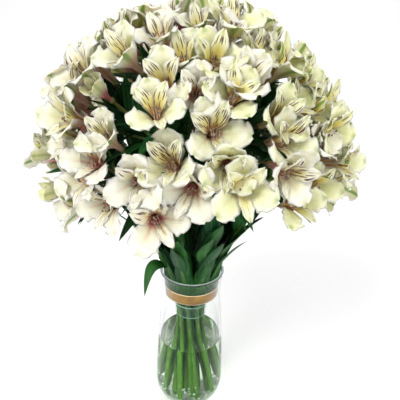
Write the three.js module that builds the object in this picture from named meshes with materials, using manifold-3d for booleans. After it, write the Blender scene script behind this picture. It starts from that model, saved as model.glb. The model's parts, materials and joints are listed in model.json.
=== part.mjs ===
// Alstroemerias in a glass vase: eighteen cut plants, tied by hand into one round bunch, standing in water.
// Each plant is a stem with its side leaves, a whorl of leaves at the stem's top, and a flower head of
// funnel-shaped florets on pedicels. The stems spiral through a clear tape at the bunch's waist, and a gold
// ribbon holds the foliage inside the neck of the vase.
// Units are millimetres, +Z is up, and the origin is the centre of the vase's flat foot.
import * as THREE from "three";
import { mergeVertices } from "three/addons/utils/BufferGeometryUtils.js";
import Module from "manifold-3d";

const wasm = await Module();
wasm.setup();

// ---- Driving dimensions ----
const GAP = 0.35; // kept between pieces that touch
const TURN = 2 * Math.PI;
const GOLDEN_ANGLE = Math.PI * (3 - Math.sqrt(5));

const VASE_HEIGHT = 223;
const WALL = 3;
const BASE_THICKNESS = 7;
const FOOT_RADIUS = 38;
const BELLY_HEIGHT = 28;
const BELLY_RADIUS = 51;
const RIM_RADIUS = 45;
const INNER_FLOOR_RADIUS = 33;
const INNER_BELLY_HEIGHT = 32;
const WALL_STEPS = 7;
const OUTER_CORNER_STEPS = 4;
const INNER_CORNER_STEPS = 3;
// The outer wall above the belly, as [radius, height]: a slow taper to a waist, then a flared lip.
const WALL_LINE = [
  [BELLY_RADIUS, BELLY_HEIGHT],
  [49.6, 72],
  [47.4, 111],
  [44.8, 148],
  [42, 180],
  [41.8, 198],
  [43.2, 213],
  [RIM_RADIUS, VASE_HEIGHT],
];
const VASE_SIDES = 28;
const WATER_LEVEL = 110;

const RIBBON = { low: 186, high: 202, lowRadius: 37, highRadius: 38.2, thickness: 0.8, sides: 28 };
const TAPE = { low: 151, high: 172, lowRadius: 22.3, highRadius: 25.8, thickness: 0.6, sides: 24 };

// Three rings of plants: the inner ring carries the top of the dome, the outer ring its lower edge.
// foot, waist and rim are the ring's radii at those three heights, tilt is the head's angle from upright,
// and leaves is how many side leaves each of its stems keeps above the rim.
const RINGS = [
  { count: 3, tilt: 23, start: 100, foot: 9, footHeight: 8.5, waist: 4.4, rim: 9, leaves: 0 },
  { count: 6, tilt: 50, start: 62, foot: 22, footHeight: 8.5, waist: 10.6, rim: 22, leaves: 2 },
  { count: 9, tilt: 78, start: 10, foot: 34, footHeight: 12, waist: 17.9, rim: 35.8, leaves: 3 },
];
const STEM_RADIUS = 3.1;
const STEM_TOP_RADIUS = 2.4;
const STEM_SIDES = 5;
const STEM_STEPS = 10;
const WAIST_HEIGHT = 148;
const RIM_CROSSING = 227;
const FOOT_TWIST = 30; // degrees that a stem turns from the waist down to its foot
const WAIST_TWIST = 12; // degrees between a stem's place at the waist and its head
const RIM_TWIST = 4;

// The dome that the open florets stand on: an ellipsoid whose lower edge hangs lowest at the back.
const DOME_CENTRE = new THREE.Vector3(-3, 0, 344);
const DOME = new THREE.Vector3(204, 159, 226);
const DOME_EDGE = 89; // degrees from upright that the florets' centres reach at the two sides
const FRONT_DROP = 3; // degrees more in front
const BACK_DROP = 8;
const FRONT_PARTING = { azimuth: -68, width: 30, raise: 10 };
const FLORETS = 112;
const HUB_SHARE = 0.52; // how far out a head's hub stands between the dome's centre and its surface
// How far single florets leave an even spread: round the dome in radians, into it as a share of its radius,
// in the way they face, and in size. The seed picks one spread out of many.
const UNEVEN = { seed: 177, azimuth: 0.25, depth: 0.13, lean: 0.4, smallest: 0.9, growth: 0.22 };

const FLORET_LENGTH = 46;
const FLORET_RADIUS = 24.5;
const FLORET_LOBES = 6;
const TUBE_SHARE = 0.42; // the funnel's radius halfway along, as a share of its rim's
const LOBE_VALLEY = 0.72; // the rim's radius between two lobes, as a share of its radius at a lobe
const THROAT_DEPTH = 20;
const PEDICEL_RADIUS = 1.8;
const HUB_RADIUS = 5;
const HUB_GAP = 1;
const NODE_LENGTH = 4; // the stem's top joint, where the whorl of leaves grows
const NODE_RADIUS = 3;

// A leaf's rise is how far it follows its shoot against how far it spreads, and its droop is how far its tip
// sinks, as a share of its length.
const WHORL_LEAF = { length: 62, width: 13, rise: 0.35, droop: 0.42 };
const SIDE_LEAF = { length: 74, width: 17, rise: 2.2, droop: 0.16 };
const RIM_LEAF = { length: 64, width: 16, rise: 3, droop: 1.5 };
const RIM_LEAF_PLANT = 14; // the plant on the left whose lowest side leaf hangs over the rim
const WHORL_LEAVES = 4;
const FIRST_SIDE_LEAF = 0.69; // its place along the stem's line, from 0 at the foot to 1 at the hub
const SIDE_LEAF_STEP = 0.09;
const SIDE_SPREAD = 0.5;
const SIDE_SWAY = 1.5; // radians between the two farthest ways that side leaves spread
const LEAF_OUTLINE = { base: 0.12, belly: 0.38, skew: 0.8 }; // half-widths as shares of the leaf's width
const LEAF_THICKNESS = 1.4;
const LEAF_STEPS = 3;

const COLOURS = {
  glass: 0xeef3f2,
  water: 0xdfe9e4,
  ribbon: 0xb98a3e,
  tape: 0xbfe0d2,
  stem: 0x4f8a3a,
  leaf: 0x1f5a2c,
  floret: 0xf4f0dc,
};

// ---- Small helpers ----
const radians = (degrees) => (degrees * Math.PI) / 180;
const vector = (x, y, z) => new THREE.Vector3(x, y, z);

// A number between 0 and 1 that looks random, and is the same every time for the same index and trait.
function scatter(index, trait = 0) {
  const wave = Math.sin(index * 127.1 + trait * 311.7 + 11.7) * 43758.5453;
  return wave - Math.floor(wave);
}

// The same, between -0.5 and 0.5.
const sway = (index, trait) => scatter(index, trait) - 0.5;

function around(radius, angle, height) {
  return vector(radius * Math.cos(angle), radius * Math.sin(angle), height);
}

// ---- From three.js geometry to solids and back ----
function solidOf(geometry) {
  const bare = geometry.index ? geometry.toNonIndexed() : geometry;
  const position = new THREE.BufferGeometry().setAttribute("position", bare.getAttribute("position"));
  const merged = mergeVertices(position, 1e-4);
  return new wasm.Manifold(
    new wasm.Mesh({
      numProp: 3,
      vertProperties: merged.attributes.position.array,
      triVerts: new Uint32Array(merged.index.array),
    }),
  );
}

function geometryOf(solid) {
  const mesh = solid.getMesh();
  const geometry = new THREE.BufferGeometry();
  geometry.setAttribute("position", new THREE.BufferAttribute(new Float32Array(mesh.vertProperties), 3));
  geometry.setIndex(new THREE.BufferAttribute(new Uint32Array(mesh.triVerts), 1));
  geometry.computeVertexNormals();
  return geometry;
}

const joined = (solids) => solids.reduce((whole, solid) => whole.add(solid));

// A boolean cut can leave loose chips behind: the piece is the largest body.
function largestBody(solid) {
  return solid.decompose().reduce((best, body) => (body.volume() > best.volume() ? body : best));
}

const boxesMeet = (a, b) =>
  [0, 1, 2].every((axis) => a.min[axis] <= b.max[axis] && b.min[axis] <= a.max[axis]);

function carved(solid, obstacles) {
  const box = solid.boundingBox();
  return obstacles
    .filter((obstacle) => boxesMeet(box, obstacle.boundingBox()))
    .reduce((left, obstacle) => left.subtract(obstacle), solid);
}

// A closed solid through rings of points, each as many as its neighbour's or a whole multiple of them.
// A ring of one point is a tip; a wider end ring gets a flat cap.
function ringSolid(rings) {
  const corners = [];
  const triangle = (a, b, c) => corners.push(a, b, c);
  for (let step = 0; step + 1 < rings.length; step += 1) {
    const [low, high] = [rings[step], rings[step + 1]];
    const sides = Math.max(low.length, high.length);
    const at = (ring, side) => ring[Math.floor(((side % sides) * ring.length) / sides)];
    for (let side = 0; side < sides; side += 1) {
      const [lowNear, lowFar] = [at(low, side), at(low, side + 1)];
      const [highNear, highFar] = [at(high, side), at(high, side + 1)];
      if (lowNear !== lowFar) triangle(lowNear, lowFar, highNear);
      if (highNear !== highFar) triangle(lowFar, highFar, highNear);
    }
  }
  const [first, last] = [rings[0], rings[rings.length - 1]];
  for (let side = 1; side + 1 < first.length; side += 1) triangle(first[0], first[side + 1], first[side]);
  for (let side = 1; side + 1 < last.length; side += 1) triangle(last[0], last[side], last[side + 1]);
  return solidOf(new THREE.BufferGeometry().setFromPoints(corners));
}

// A ring of points round a centre, in the plane across a direction.
function ringAcross(centre, direction, radius, sides, up) {
  const { across, over } = crossAxes(direction, up);
  return Array.from({ length: sides }, (_, side) => {
    const angle = (side / sides) * TURN;
    return centre
      .clone()
      .addScaledVector(across, radius * Math.cos(angle))
      .addScaledVector(over, radius * Math.sin(angle));
  });
}

// Two axes across a direction, with over as near to up as it can be.
function crossAxes(direction, up = Math.abs(direction.z) < 0.95 ? vector(0, 0, 1) : vector(0, 1, 0)) {
  const across = up.clone().cross(direction).normalize();
  const over = direction.clone().cross(across).normalize();
  return { across, over };
}

// ---- Vase, water, ribbon and tape ----
const flatPoints = (pairs) => pairs.map(([radius, height]) => new THREE.Vector2(radius, height));
const wallCurve = new THREE.SplineCurve(flatPoints(WALL_LINE));

function lathe(profile, sides) {
  return new THREE.LatheGeometry(profile, sides).rotateX(Math.PI / 2);
}

// A quarter ellipse from a flat floor's edge up to the foot of the wall.
function cornerArc(floorRadius, floorHeight, wallRadius, wallHeight, steps) {
  return Array.from({ length: steps }, (_, step) => {
    const angle = (step / steps) * (Math.PI / 2);
    return new THREE.Vector2(
      floorRadius + (wallRadius - floorRadius) * Math.sin(angle),
      wallHeight - (wallHeight - floorHeight) * Math.cos(angle),
    );
  });
}

// The inside of the vase from the middle of its floor to the rim, moved inwards by a gap.
function innerLine(gap) {
  const wall = wallCurve
    .getPoints(WALL_STEPS)
    .filter((point) => point.y > INNER_BELLY_HEIGHT)
    .map((point) => new THREE.Vector2(point.x - WALL - gap, point.y));
  const floor = BASE_THICKNESS + gap;
  return [
    new THREE.Vector2(0, floor),
    ...cornerArc(INNER_FLOOR_RADIUS, floor, wall[0].x, wall[0].y, INNER_CORNER_STEPS),
    ...wall,
  ];
}

function vaseSolid() {
  const outer = [
    new THREE.Vector2(0, 0),
    ...cornerArc(FOOT_RADIUS, 0, BELLY_RADIUS, BELLY_HEIGHT, OUTER_CORNER_STEPS),
    ...wallCurve.getPoints(WALL_STEPS),
  ];
  return solidOf(lathe([...outer, ...innerLine(0).reverse()], VASE_SIDES));
}

function waterSolid(stems) {
  const line = innerLine(GAP);
  const above = line.findIndex((point) => point.y > WATER_LEVEL);
  const share = (WATER_LEVEL - line[above - 1].y) / (line[above].y - line[above - 1].y);
  const shore = line[above - 1].clone().lerp(line[above], share);
  const profile = [...line.slice(0, above), shore, new THREE.Vector2(0, WATER_LEVEL)];
  return carved(solidOf(lathe(profile, VASE_SIDES)), stems);
}

// A thin band whose two edges have their own radii.
function bandSolid({ low, high, lowRadius, highRadius, thickness, sides }) {
  const profile = [
    [lowRadius, low],
    [highRadius, high],
    [highRadius - thickness, high],
    [lowRadius - thickness, low],
    [lowRadius, low],
  ];
  return solidOf(lathe(flatPoints(profile), sides));
}

// ---- The layout of the bunch ----
// How far from upright the dome reaches at an azimuth: less in front, where the bunch parts over its stems.
function domeEdge(azimuth) {
  const depth = Math.sin(azimuth);
  const off = Math.atan2(
    Math.sin(azimuth - radians(FRONT_PARTING.azimuth)),
    Math.cos(azimuth - radians(FRONT_PARTING.azimuth)),
  );
  const parting = Math.exp(-((off / radians(FRONT_PARTING.width)) ** 2));
  const drop = (depth > 0 ? BACK_DROP : FRONT_DROP) * Math.abs(depth);
  return radians(DOME_EDGE + drop - FRONT_PARTING.raise * parting);
}

function unitDirection(tilt, azimuth) {
  return vector(Math.sin(tilt) * Math.cos(azimuth), Math.sin(tilt) * Math.sin(azimuth), Math.cos(tilt));
}

function onDome(unit, share) {
  return unit.clone().multiply(DOME).multiplyScalar(share).add(DOME_CENTRE);
}

function layPlants() {
  return RINGS.flatMap((ring) =>
    Array.from({ length: ring.count }, (_, place) => {
      const azimuth = radians(ring.start) + (place / ring.count) * TURN;
      const tilt = radians(ring.tilt) * (domeEdge(azimuth) / radians(DOME_EDGE));
      const unit = unitDirection(tilt, azimuth);
      const hub = onDome(unit, HUB_SHARE);
      const line = new THREE.CatmullRomCurve3(
        [
          around(ring.foot, azimuth + radians(WAIST_TWIST + FOOT_TWIST), ring.footHeight),
          around(ring.waist, azimuth + radians(WAIST_TWIST), WAIST_HEIGHT),
          around(ring.rim, azimuth + radians(RIM_TWIST), RIM_CROSSING),
          hub,
        ],
        false,
        "catmullrom",
        0.5,
      );
      return { unit, hub, line, leafCount: ring.leaves, florets: [] };
    }),
  );
}

// Florets are spread evenly over the dome and belong to the plant whose head is nearest.
function layFlorets(plants) {
  const { seed } = UNEVEN;
  for (let index = 0; index < FLORETS; index += 1) {
    const azimuth = index * GOLDEN_ANGLE + UNEVEN.azimuth * sway(index, seed);
    const share = (index + 0.5) / FLORETS;
    const unit = unitDirection(Math.acos(1 - share * (1 - Math.cos(domeEdge(azimuth)))), azimuth);
    const face = onDome(unit, 1 - UNEVEN.depth * scatter(index, seed + 1));
    const lean = vector(sway(index, seed + 2), sway(index, seed + 3), sway(index, seed + 4));
    const facing = unit.clone().divide(DOME).normalize().addScaledVector(lean, UNEVEN.lean).normalize();
    const size = UNEVEN.smallest + UNEVEN.growth * scatter(index, seed + 5);
    const base = face.clone().addScaledVector(facing, -FLORET_LENGTH * size);
    const nearer = (best, plant) => (plant.unit.dot(unit) > best.unit.dot(unit) ? plant : best);
    plants.reduce(nearer).florets.push({ base, facing, size });
  }
}

// ---- Plants ----
function stemSolid(plant, extra) {
  const end = 1 - NODE_LENGTH / plant.line.getLength();
  const rings = [];
  for (let step = 0; step <= STEM_STEPS; step += 1) {
    const t = (step / STEM_STEPS) * end;
    const radius = THREE.MathUtils.lerp(STEM_RADIUS, STEM_TOP_RADIUS, t) + extra;
    rings.push(ringAcross(plant.line.getPoint(t), plant.line.getTangent(t), radius, STEM_SIDES));
  }
  return ringSolid(rings);
}

// A lanceolate leaf that leaves its base along a direction and droops under its weight.
function leafSolid(base, direction, { length, width, droop }, extra) {
  const { across } = crossAxes(direction);
  const centre = (share) =>
    base
      .clone()
      .addScaledVector(direction, length * share)
      .add(vector(0, 0, -droop * length * share * share));
  const rings = [];
  for (let step = 0; step < LEAF_STEPS; step += 1) {
    const share = step / LEAF_STEPS;
    const belly = Math.sin(Math.PI * share ** LEAF_OUTLINE.skew);
    const half = width * (LEAF_OUTLINE.base + LEAF_OUTLINE.belly * belly) + extra;
    const along = centre(share + 0.05).sub(centre(share)).normalize();
    const up = along.clone().cross(across).normalize();
    const thick = LEAF_THICKNESS / 2 + extra;
    const middle = centre(share);
    rings.push([
      middle.clone().addScaledVector(across, half),
      middle.clone().addScaledVector(up, thick),
      middle.clone().addScaledVector(across, -half),
      middle.clone().addScaledVector(up, -thick),
    ]);
  }
  rings.push([centre(1)]);
  return ringSolid(rings);
}

// The direction of a leaf that leaves a shoot at an angle round it, rise being how far it follows the shoot.
function leafDirection(shoot, angle, rise) {
  const { across, over } = crossAxes(shoot);
  return shoot
    .clone()
    .multiplyScalar(rise)
    .addScaledVector(across, Math.cos(angle))
    .addScaledVector(over, Math.sin(angle))
    .normalize();
}

// Side leaves grow one by one up the bare part of a stem above the rim, on the side away from the axis.
function sideLeaves(plant, number, extra) {
  return Array.from({ length: plant.leafCount }, (_, index) => {
    const t = FIRST_SIDE_LEAF + SIDE_LEAF_STEP * index;
    const point = plant.line.getPoint(t);
    const overRim = number === RIM_LEAF_PLANT && index === 0;
    const form = overRim ? RIM_LEAF : SIDE_LEAF;
    const turn = overRim ? 0 : SIDE_SWAY * sway(number, 10 + index);
    const spread = vector(point.x, point.y, 0).normalize().applyAxisAngle(vector(0, 0, 1), turn);
    const direction = plant.line.getTangent(t).multiplyScalar(form.rise).addScaledVector(spread, SIDE_SPREAD);
    return leafSolid(point, direction.normalize(), form, extra);
  });
}

// The joint at the stem's top with its whorl of leaves.
function whorlSolid(plant, number, extra) {
  const length = plant.line.getLength();
  const shoot = plant.line.getTangent(1);
  const low = plant.line.getPoint(1 - (NODE_LENGTH - GAP) / length);
  const high = plant.line.getPoint(1 - HUB_GAP / length);
  const node = ringSolid([low, high].map((end) => ringAcross(end, shoot, NODE_RADIUS + extra, STEM_SIDES)));
  const middle = low.clone().lerp(high, 0.5);
  const leaves = Array.from({ length: WHORL_LEAVES }, (_, index) => {
    const angle = ((index + scatter(number, 20)) / WHORL_LEAVES) * TURN;
    return leafSolid(middle, leafDirection(shoot, angle, WHORL_LEAF.rise), WHORL_LEAF, extra);
  });
  return joined([node, ...leaves]);
}

// A pedicel that widens into a six-lobed funnel with an open throat: one floret from the hub outwards.
function floretSolid(hub, { base, facing, size }, extra) {
  const { over } = crossAxes(facing);
  const place = (share) => base.clone().addScaledVector(facing, share * FLORET_LENGTH * size);
  const ring = (middle, axis, radius, sides) => ringAcross(middle, axis, radius + extra, sides, over);
  const along = base.clone().sub(hub).normalize();
  const mouth = place(1).addScaledVector(facing, extra);
  const throat = place(1 - THROAT_DEPTH / FLORET_LENGTH).addScaledVector(facing, extra);
  const rim = ring(mouth, facing, FLORET_RADIUS * size, FLORET_LOBES * 2);
  return ringSolid([
    ring(hub, along, PEDICEL_RADIUS, FLORET_LOBES / 2),
    ring(place(0), along, PEDICEL_RADIUS, FLORET_LOBES / 2),
    ring(place(0.5), facing, FLORET_RADIUS * TUBE_SHARE * size, FLORET_LOBES),
    rim.map((point, side) => (side % 2 ? point.lerp(mouth, 1 - LOBE_VALLEY) : point)),
    [throat],
  ]);
}

// Each head keeps to its own share of the dome: the directions that are nearer to it than to any other head.
function keptToItsShare(solid, plant, plants, extra) {
  return plants
    .filter((other) => other !== plant)
    .reduce((left, other) => {
      const normal = plant.unit.clone().sub(other.unit).divide(DOME).normalize();
      return left.trimByPlane(normal.toArray(), normal.dot(DOME_CENTRE) + GAP / 2 - extra);
    }, solid);
}

function headSolid(plant, plants, extra) {
  const knob = new THREE.OctahedronGeometry(HUB_RADIUS + extra, 0);
  const centre = plant.hub.clone().addScaledVector(plant.line.getTangent(1), HUB_RADIUS);
  knob.translate(...centre.toArray());
  const florets = plant.florets.map((floret) => floretSolid(centre, floret, extra));
  const whole = joined([solidOf(knob), ...florets]);
  return largestBody(keptToItsShare(whole, plant, plants, extra));
}

// ---- Putting it together ----
function piece(name, solid, colour, finish = {}) {
  const material = new THREE.MeshStandardMaterial({ color: colour, roughness: 0.6, metalness: 0, ...finish });
  const mesh = new THREE.Mesh(geometryOf(solid), material);
  mesh.name = name;
  return mesh;
}

const numbered = (kind, index) => `${kind}_${String(index + 1).padStart(2, "0")}`;

const plants = layPlants();
layFlorets(plants);
const stems = plants.map((plant) => stemSolid(plant, 0));
const clearStems = plants.map((plant) => stemSolid(plant, GAP));
const heads = plants.map((plant) => headSolid(plant, plants, 0));
const clearHeads = plants.map((plant) => headSolid(plant, plants, 2 * GAP));
const vase = vaseSolid();
const ribbon = bandSolid(RIBBON);

const holder = new THREE.Group();
holder.name = "filled_vase";
holder.add(
  piece("vase", vase, COLOURS.glass, { roughness: 0.05, transparent: true, opacity: 0.35 }),
  piece("water", waterSolid(clearStems), COLOURS.water, { roughness: 0.02, transparent: true, opacity: 0.4 }),
  piece("gold_ribbon", ribbon, COLOURS.ribbon, { roughness: 0.35, metalness: 0.6 }),
  piece("binding_tape", bandSolid(TAPE), COLOURS.tape, { roughness: 0.3 }),
);

// Leaves give way to everything placed before them: first the whorls, plant by plant, then the side leaves.
const placed = [vase, ribbon, ...clearHeads];
const whorls = plants.map((plant, index) => {
  const whorl = carved(whorlSolid(plant, index, 0), [...placed, ...clearStems]);
  placed.push(whorlSolid(plant, index, GAP));
  return largestBody(whorl);
});
const leafyStems = plants.map((plant, index) => {
  const otherStems = clearStems.filter((_, other) => other !== index);
  const leaves = sideLeaves(plant, index, 0).map((leaf) => carved(leaf, [...placed, ...otherStems]));
  placed.push(...sideLeaves(plant, index, GAP));
  return largestBody(joined([stems[index], ...leaves]));
});

const bunch = new THREE.Group();
bunch.name = "bunch";
plants.forEach((_, index) => {
  const grown = new THREE.Group();
  grown.name = numbered("plant", index);
  grown.add(
    piece(numbered("stem", index), leafyStems[index], COLOURS.stem),
    piece(numbered("leaf_whorl", index), whorls[index], COLOURS.leaf),
    piece(numbered("flower_head", index), heads[index], COLOURS.floret, { roughness: 0.7 }),
  );
  bunch.add(grown);
});

const alstroemerias = new THREE.Group();
alstroemerias.name = "alstroemerias_in_a_vase";
alstroemerias.add(holder, bunch);

export default alstroemerias;
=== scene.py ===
"""Alstroemerias in a glass vase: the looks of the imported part, made piece by piece.

Eighteen cut plants are laid out by the same rules as their solids. Stems, pedicels, leaf blades and stamens are
swept along paths, and florets are set on points, by geometry node trees. The glass, water, ribbon and tape are
turned round the vase's axis. Lengths in the layout are millimetres, and every mesh is in metres.
"""

import json
import math
import bmesh
import bpy
from bpy.props import FloatProperty, FloatVectorProperty, IntProperty, PointerProperty
from mathutils import Matrix, Vector

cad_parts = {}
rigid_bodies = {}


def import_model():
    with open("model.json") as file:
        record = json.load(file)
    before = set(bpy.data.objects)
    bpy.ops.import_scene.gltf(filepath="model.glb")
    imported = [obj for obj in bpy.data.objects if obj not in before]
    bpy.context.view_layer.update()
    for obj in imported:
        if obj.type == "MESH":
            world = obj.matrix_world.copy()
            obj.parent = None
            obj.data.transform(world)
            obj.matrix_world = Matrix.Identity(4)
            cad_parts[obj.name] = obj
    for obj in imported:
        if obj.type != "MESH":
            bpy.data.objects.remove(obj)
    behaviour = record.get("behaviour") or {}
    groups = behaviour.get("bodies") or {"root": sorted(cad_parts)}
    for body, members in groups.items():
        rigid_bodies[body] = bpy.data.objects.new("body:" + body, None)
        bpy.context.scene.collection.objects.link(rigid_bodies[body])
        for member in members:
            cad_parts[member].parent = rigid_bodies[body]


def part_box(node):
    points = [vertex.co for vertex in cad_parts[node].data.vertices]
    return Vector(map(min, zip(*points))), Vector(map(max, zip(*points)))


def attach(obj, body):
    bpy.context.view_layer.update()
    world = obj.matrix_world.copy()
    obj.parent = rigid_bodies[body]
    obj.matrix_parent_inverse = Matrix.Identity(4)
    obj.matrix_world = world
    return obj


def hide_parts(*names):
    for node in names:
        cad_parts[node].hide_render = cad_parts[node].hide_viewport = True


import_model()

bl_info = {
    "name": "Alstroemerias in a Vase",
    "version": (1, 0, 0),
    "blender": (4, 5, 0),
    "location": "View3D > Sidebar > Flowers",
    "description": "Builds a round bunch of alstroemerias in a glass vase, piece by piece",
    "category": "Object",
}

MM = 0.001
TURN = 2 * math.pi
GOLDEN_ANGLE = math.pi * (3 - math.sqrt(5))
UP = Vector((0, 0, 1))

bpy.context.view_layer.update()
VASE_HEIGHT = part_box("vase")[1][2] / MM
RIBBON_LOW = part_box("gold_ribbon")[0][2] / MM
RIBBON_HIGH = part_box("gold_ribbon")[1][2] / MM
TAPE_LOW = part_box("binding_tape")[0][2] / MM
TAPE_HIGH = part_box("binding_tape")[1][2] / MM
WATER_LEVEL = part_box("water")[1][2] / MM

# The vase's outside from the widest part of its belly to its lip, as (radius, height).
WALL_LINE = [
    (51, 28),
    (49.6, 72),
    (47.4, 111),
    (44.8, 148),
    (42, 180),
    (41.8, 198),
    (43.2, 213),
    (45, VASE_HEIGHT),
]
FOOT_RADIUS = 38
INNER_FLOOR_RADIUS = 33
INNER_BELLY_HEIGHT = 32
WALL_STEPS = 40
HEEL_STEPS = 12
INNER_HEEL_STEPS = 10
LIP_STEPS = 8
LATHE_SIDES = 96
WATER_OVERLAP = 0.15  # how far the water goes into the glass, so that no air shows between them
# The water climbs at its edge: (distance in from the glass, how far under the water level).
WATER_EDGE = [(0, 0), (0.9, 0.9), (2.6, 1.4)]
WATER_SINK = 1.5
BUBBLES_LOW = 9
BUBBLES_HIGH = 44
BUBBLE_INSET = 1.6

# The bands: radii at the lower and upper edge, thickness, turns, and how far the band wanders.
RIBBON = {"low_radius": 36.9, "high_radius": 37.8, "thickness": 0.35, "turns": 1.05, "wave": 0.18}
TAPE = {"low_radius": 22.3, "high_radius": 25.6, "thickness": 0.3, "turns": 1.2, "wave": 0.25}
BAND_START = math.radians(96)
BAND_STEPS = 120  # for each turn
BAND_ROWS = 8
BAND_GAP = 0.15

# Three rings of plants, from the middle of the bunch outwards.
RINGS = [
    {"count": 3, "tilt": 23, "start": 100, "foot": 9, "foot_height": 8.5, "waist": 4.4, "rim": 9, "leaves": 0},
    {"count": 6, "tilt": 50, "start": 62, "foot": 22, "foot_height": 8.5, "waist": 10.6, "rim": 22, "leaves": 2},
    {"count": 9, "tilt": 78, "start": 10, "foot": 34, "foot_height": 12, "waist": 17.9, "rim": 35.8, "leaves": 3},
]
WAIST_HEIGHT = 148
RIM_CROSSING = 227
FOOT_TWIST = 30
WAIST_TWIST = 12
RIM_TWIST = 4
DOME_CENTRE = Vector((-3, 0, 344))
DOME = Vector((204, 159, 226))
DOME_EDGE = 89
FRONT_DROP = 3
BACK_DROP = 8
PARTING = {"azimuth": -68, "width": 30, "raise": 10}
FLORETS = 112
HUB_SHARE = 0.52
UNEVEN = {"seed": 177, "azimuth": 0.25, "depth": 0.13, "lean": 0.4, "smallest": 0.9, "growth": 0.22}
FLORET_LENGTH = 46
HUB_RADIUS = 5
NODE_LENGTH = 4
WHORL_LEAVES = 4
RIM_LEAF_PLANT = 14
YOUNG = 0.2  # the share of half-open florets at the very sides of the bunch, less towards its front and back
YOUNG_SIZE = 0.74
NOD = 0.45  # how far a floret may nod away from the way its solid faces

# How a leaf grows: rise is how far it follows its shoot, droop how far its tip sinks in lengths of itself, spread
# how far it leans out, tuck how far its middle bows out in millimetres, and curl its twist in radians.
WHORL_LEAF = {"length": 64, "width": 16, "rise": 0.35, "droop": 0.42}
SIDE_LEAF = {"length": 78, "width": 22, "rise": 2.2, "droop": 0.16}
RIM_LEAF = {"length": 64, "width": 20, "rise": 3, "droop": 1.5, "tuck": 7, "curl": -0.6}
NECK_LEAF = {"length": 88, "width": 19, "rise": 2.9, "droop": 0.06, "spread": 0.16}
COLLAR_LEAF = {"length": 66, "width": 26, "rise": 2.9, "droop": 0.0, "spread": 0.02, "tuck": 5.5}
# The sunken leaves are partly leaf remains and partly dark strips that fill in the shade between the stems in the
# water.
WET_LEAF = {"length": 74, "width": 9, "rise": 6.0, "droop": 0.0, "spread": 0.4}
BRACT = {"length": 56, "width": 13, "rise": 1.1, "droop": 0.12}
LEAF_STEPS = 14
# Where leaves sit, as shares of their stem's line from its foot.
FIRST_SIDE_LEAF = 0.69
SIDE_LEAF_STEP = 0.09
FILLERS = {"first": 0.7, "reach": 0.27}
NECK_LEAVES = {"inner": 0.52, "outer": 0.49, "reach": 0.22}
COLLAR_LEAVES = {"share": 0.44, "swings": (-0.2, 0.2)}
WET_LEAVES = {"first": 0.05, "step": 0.12, "uneven": 0.05}
BARE_JOINTS = [0.3, 0.42, 0.54]
SIDE_SPREAD = 0.5
SIDE_SWAY = 1.5
OUTER_RING_RIM = 30  # stems that cross the rim farther out than this stand in the outer ring
LEAF_ROOM = 4.2  # between the vase's outside and the leaves in its neck
ROOM_OVER_RIM = 0.9  # how fast their room widens over the rim
NECK_CLEARING = 30  # over this height above the rim, leaves come free of the neck
PRESSED = 0.15  # how much is left of what stands out too far
# Each leaf's own seed: a block of numbers for each plant, with a place in it for each sort of leaf.
LEAF_SEEDS = {"plant": 40, "side": 10, "filler": 20, "neck": 30, "collar": 36, "wet": 38, "bract": 1000}

STEM_STEPS = 60
STEM_SIDES = 14
JOINT_SWELL = 0.28
JOINT_REACH = 0.008  # a share of the stem's line
END_TAPER = 0.12
PEDICEL_STEPS = 12
PEDICEL_SIDES = 10
# Swellings as (distance along, radius): the ovary under a floret, and the hub that the pedicels leave.
OVARY = [(1.4, 2.2), (3.0, 3.3), (5.0, 3.9), (7.0, 3.7), (8.6, 2.9), (9.8, 1.6)]
HUB = [(-4.5, 2.2), (-2.5, 3.2), (0, 3.7), (2.5, 3.0), (4, 1.6)]
ANTHER = [(-1.7, 0.25), (-1.3, 0.7), (-0.5, 0.95), (0.5, 0.95), (1.3, 0.7), (1.7, 0.25)]
STAMENS = 6
STAMEN_STEPS = 7
STAMEN_SIDES = 6

# A tepal's half-width and its angle from the floret's axis, both against its share of the length.
OUTER_TEPAL = {
    "length": 50,
    "start": 3.0,
    "widths": [(0, 2.0), (0.14, 2.4), (0.26, 4.0), (0.38, 7.4), (0.5, 10.6), (0.64, 13.0), (0.78, 13.6),
               (0.89, 11.6), (0.955, 8.2), (1, 2.4)],
    "angles": [(0, 10), (0.28, 15), (0.48, 29), (0.68, 44), (0.86, 58), (1, 76)],
    "cup": 0.12,
    "ruffle": 2.9,
    "rows": 28,
    "columns": 10,
}
UPPER_TEPAL = {
    "length": 50,
    "start": 2.2,
    "widths": [(0, 1.4), (0.2, 1.9), (0.38, 3.7), (0.55, 6.3), (0.7, 7.8), (0.83, 7.3), (0.93, 4.8), (1, 0.9)],
    "angles": [(0, 7), (0.35, 13), (0.6, 28), (0.8, 42), (1, 66)],
    "cup": 0.42,
    "ruffle": 1.3,
    "rows": 14,
    "columns": 6,
}
LOWER_TEPAL = {
    "length": 45,
    "start": 2.2,
    "widths": [(0, 1.4), (0.2, 1.7), (0.4, 3.0), (0.58, 5.0), (0.73, 5.9), (0.86, 5.2), (0.95, 3.0), (1, 0.6)],
    "angles": [(0, 8), (0.35, 18), (0.6, 34), (0.8, 48), (1, 62)],
    "cup": 0.42,
    "ruffle": 1.1,
    "rows": 14,
    "columns": 6,
}
# Which tepals a floret has, by the clock seen from its front: (form, angle from straight up, kind).
WHORL = [
    (OUTER_TEPAL, 0, 0.0),
    (OUTER_TEPAL, 118, 0.0),
    (OUTER_TEPAL, -118, 0.0),
    (UPPER_TEPAL, 40, 1.0),
    (UPPER_TEPAL, -40, 1.0),
    (LOWER_TEPAL, 180, 0.6),
]
THROAT = 6
TEPAL_STEPS = 60
# How far each shape of floret has opened: the last is the half-open one.
OPENNESS = [1.0, 0.84, 1.06, 0.7, 0.96, 1.1, 0.78, 1.02, 0.9, 0.42]
HALF_OPEN = len(OPENNESS) - 1

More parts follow.
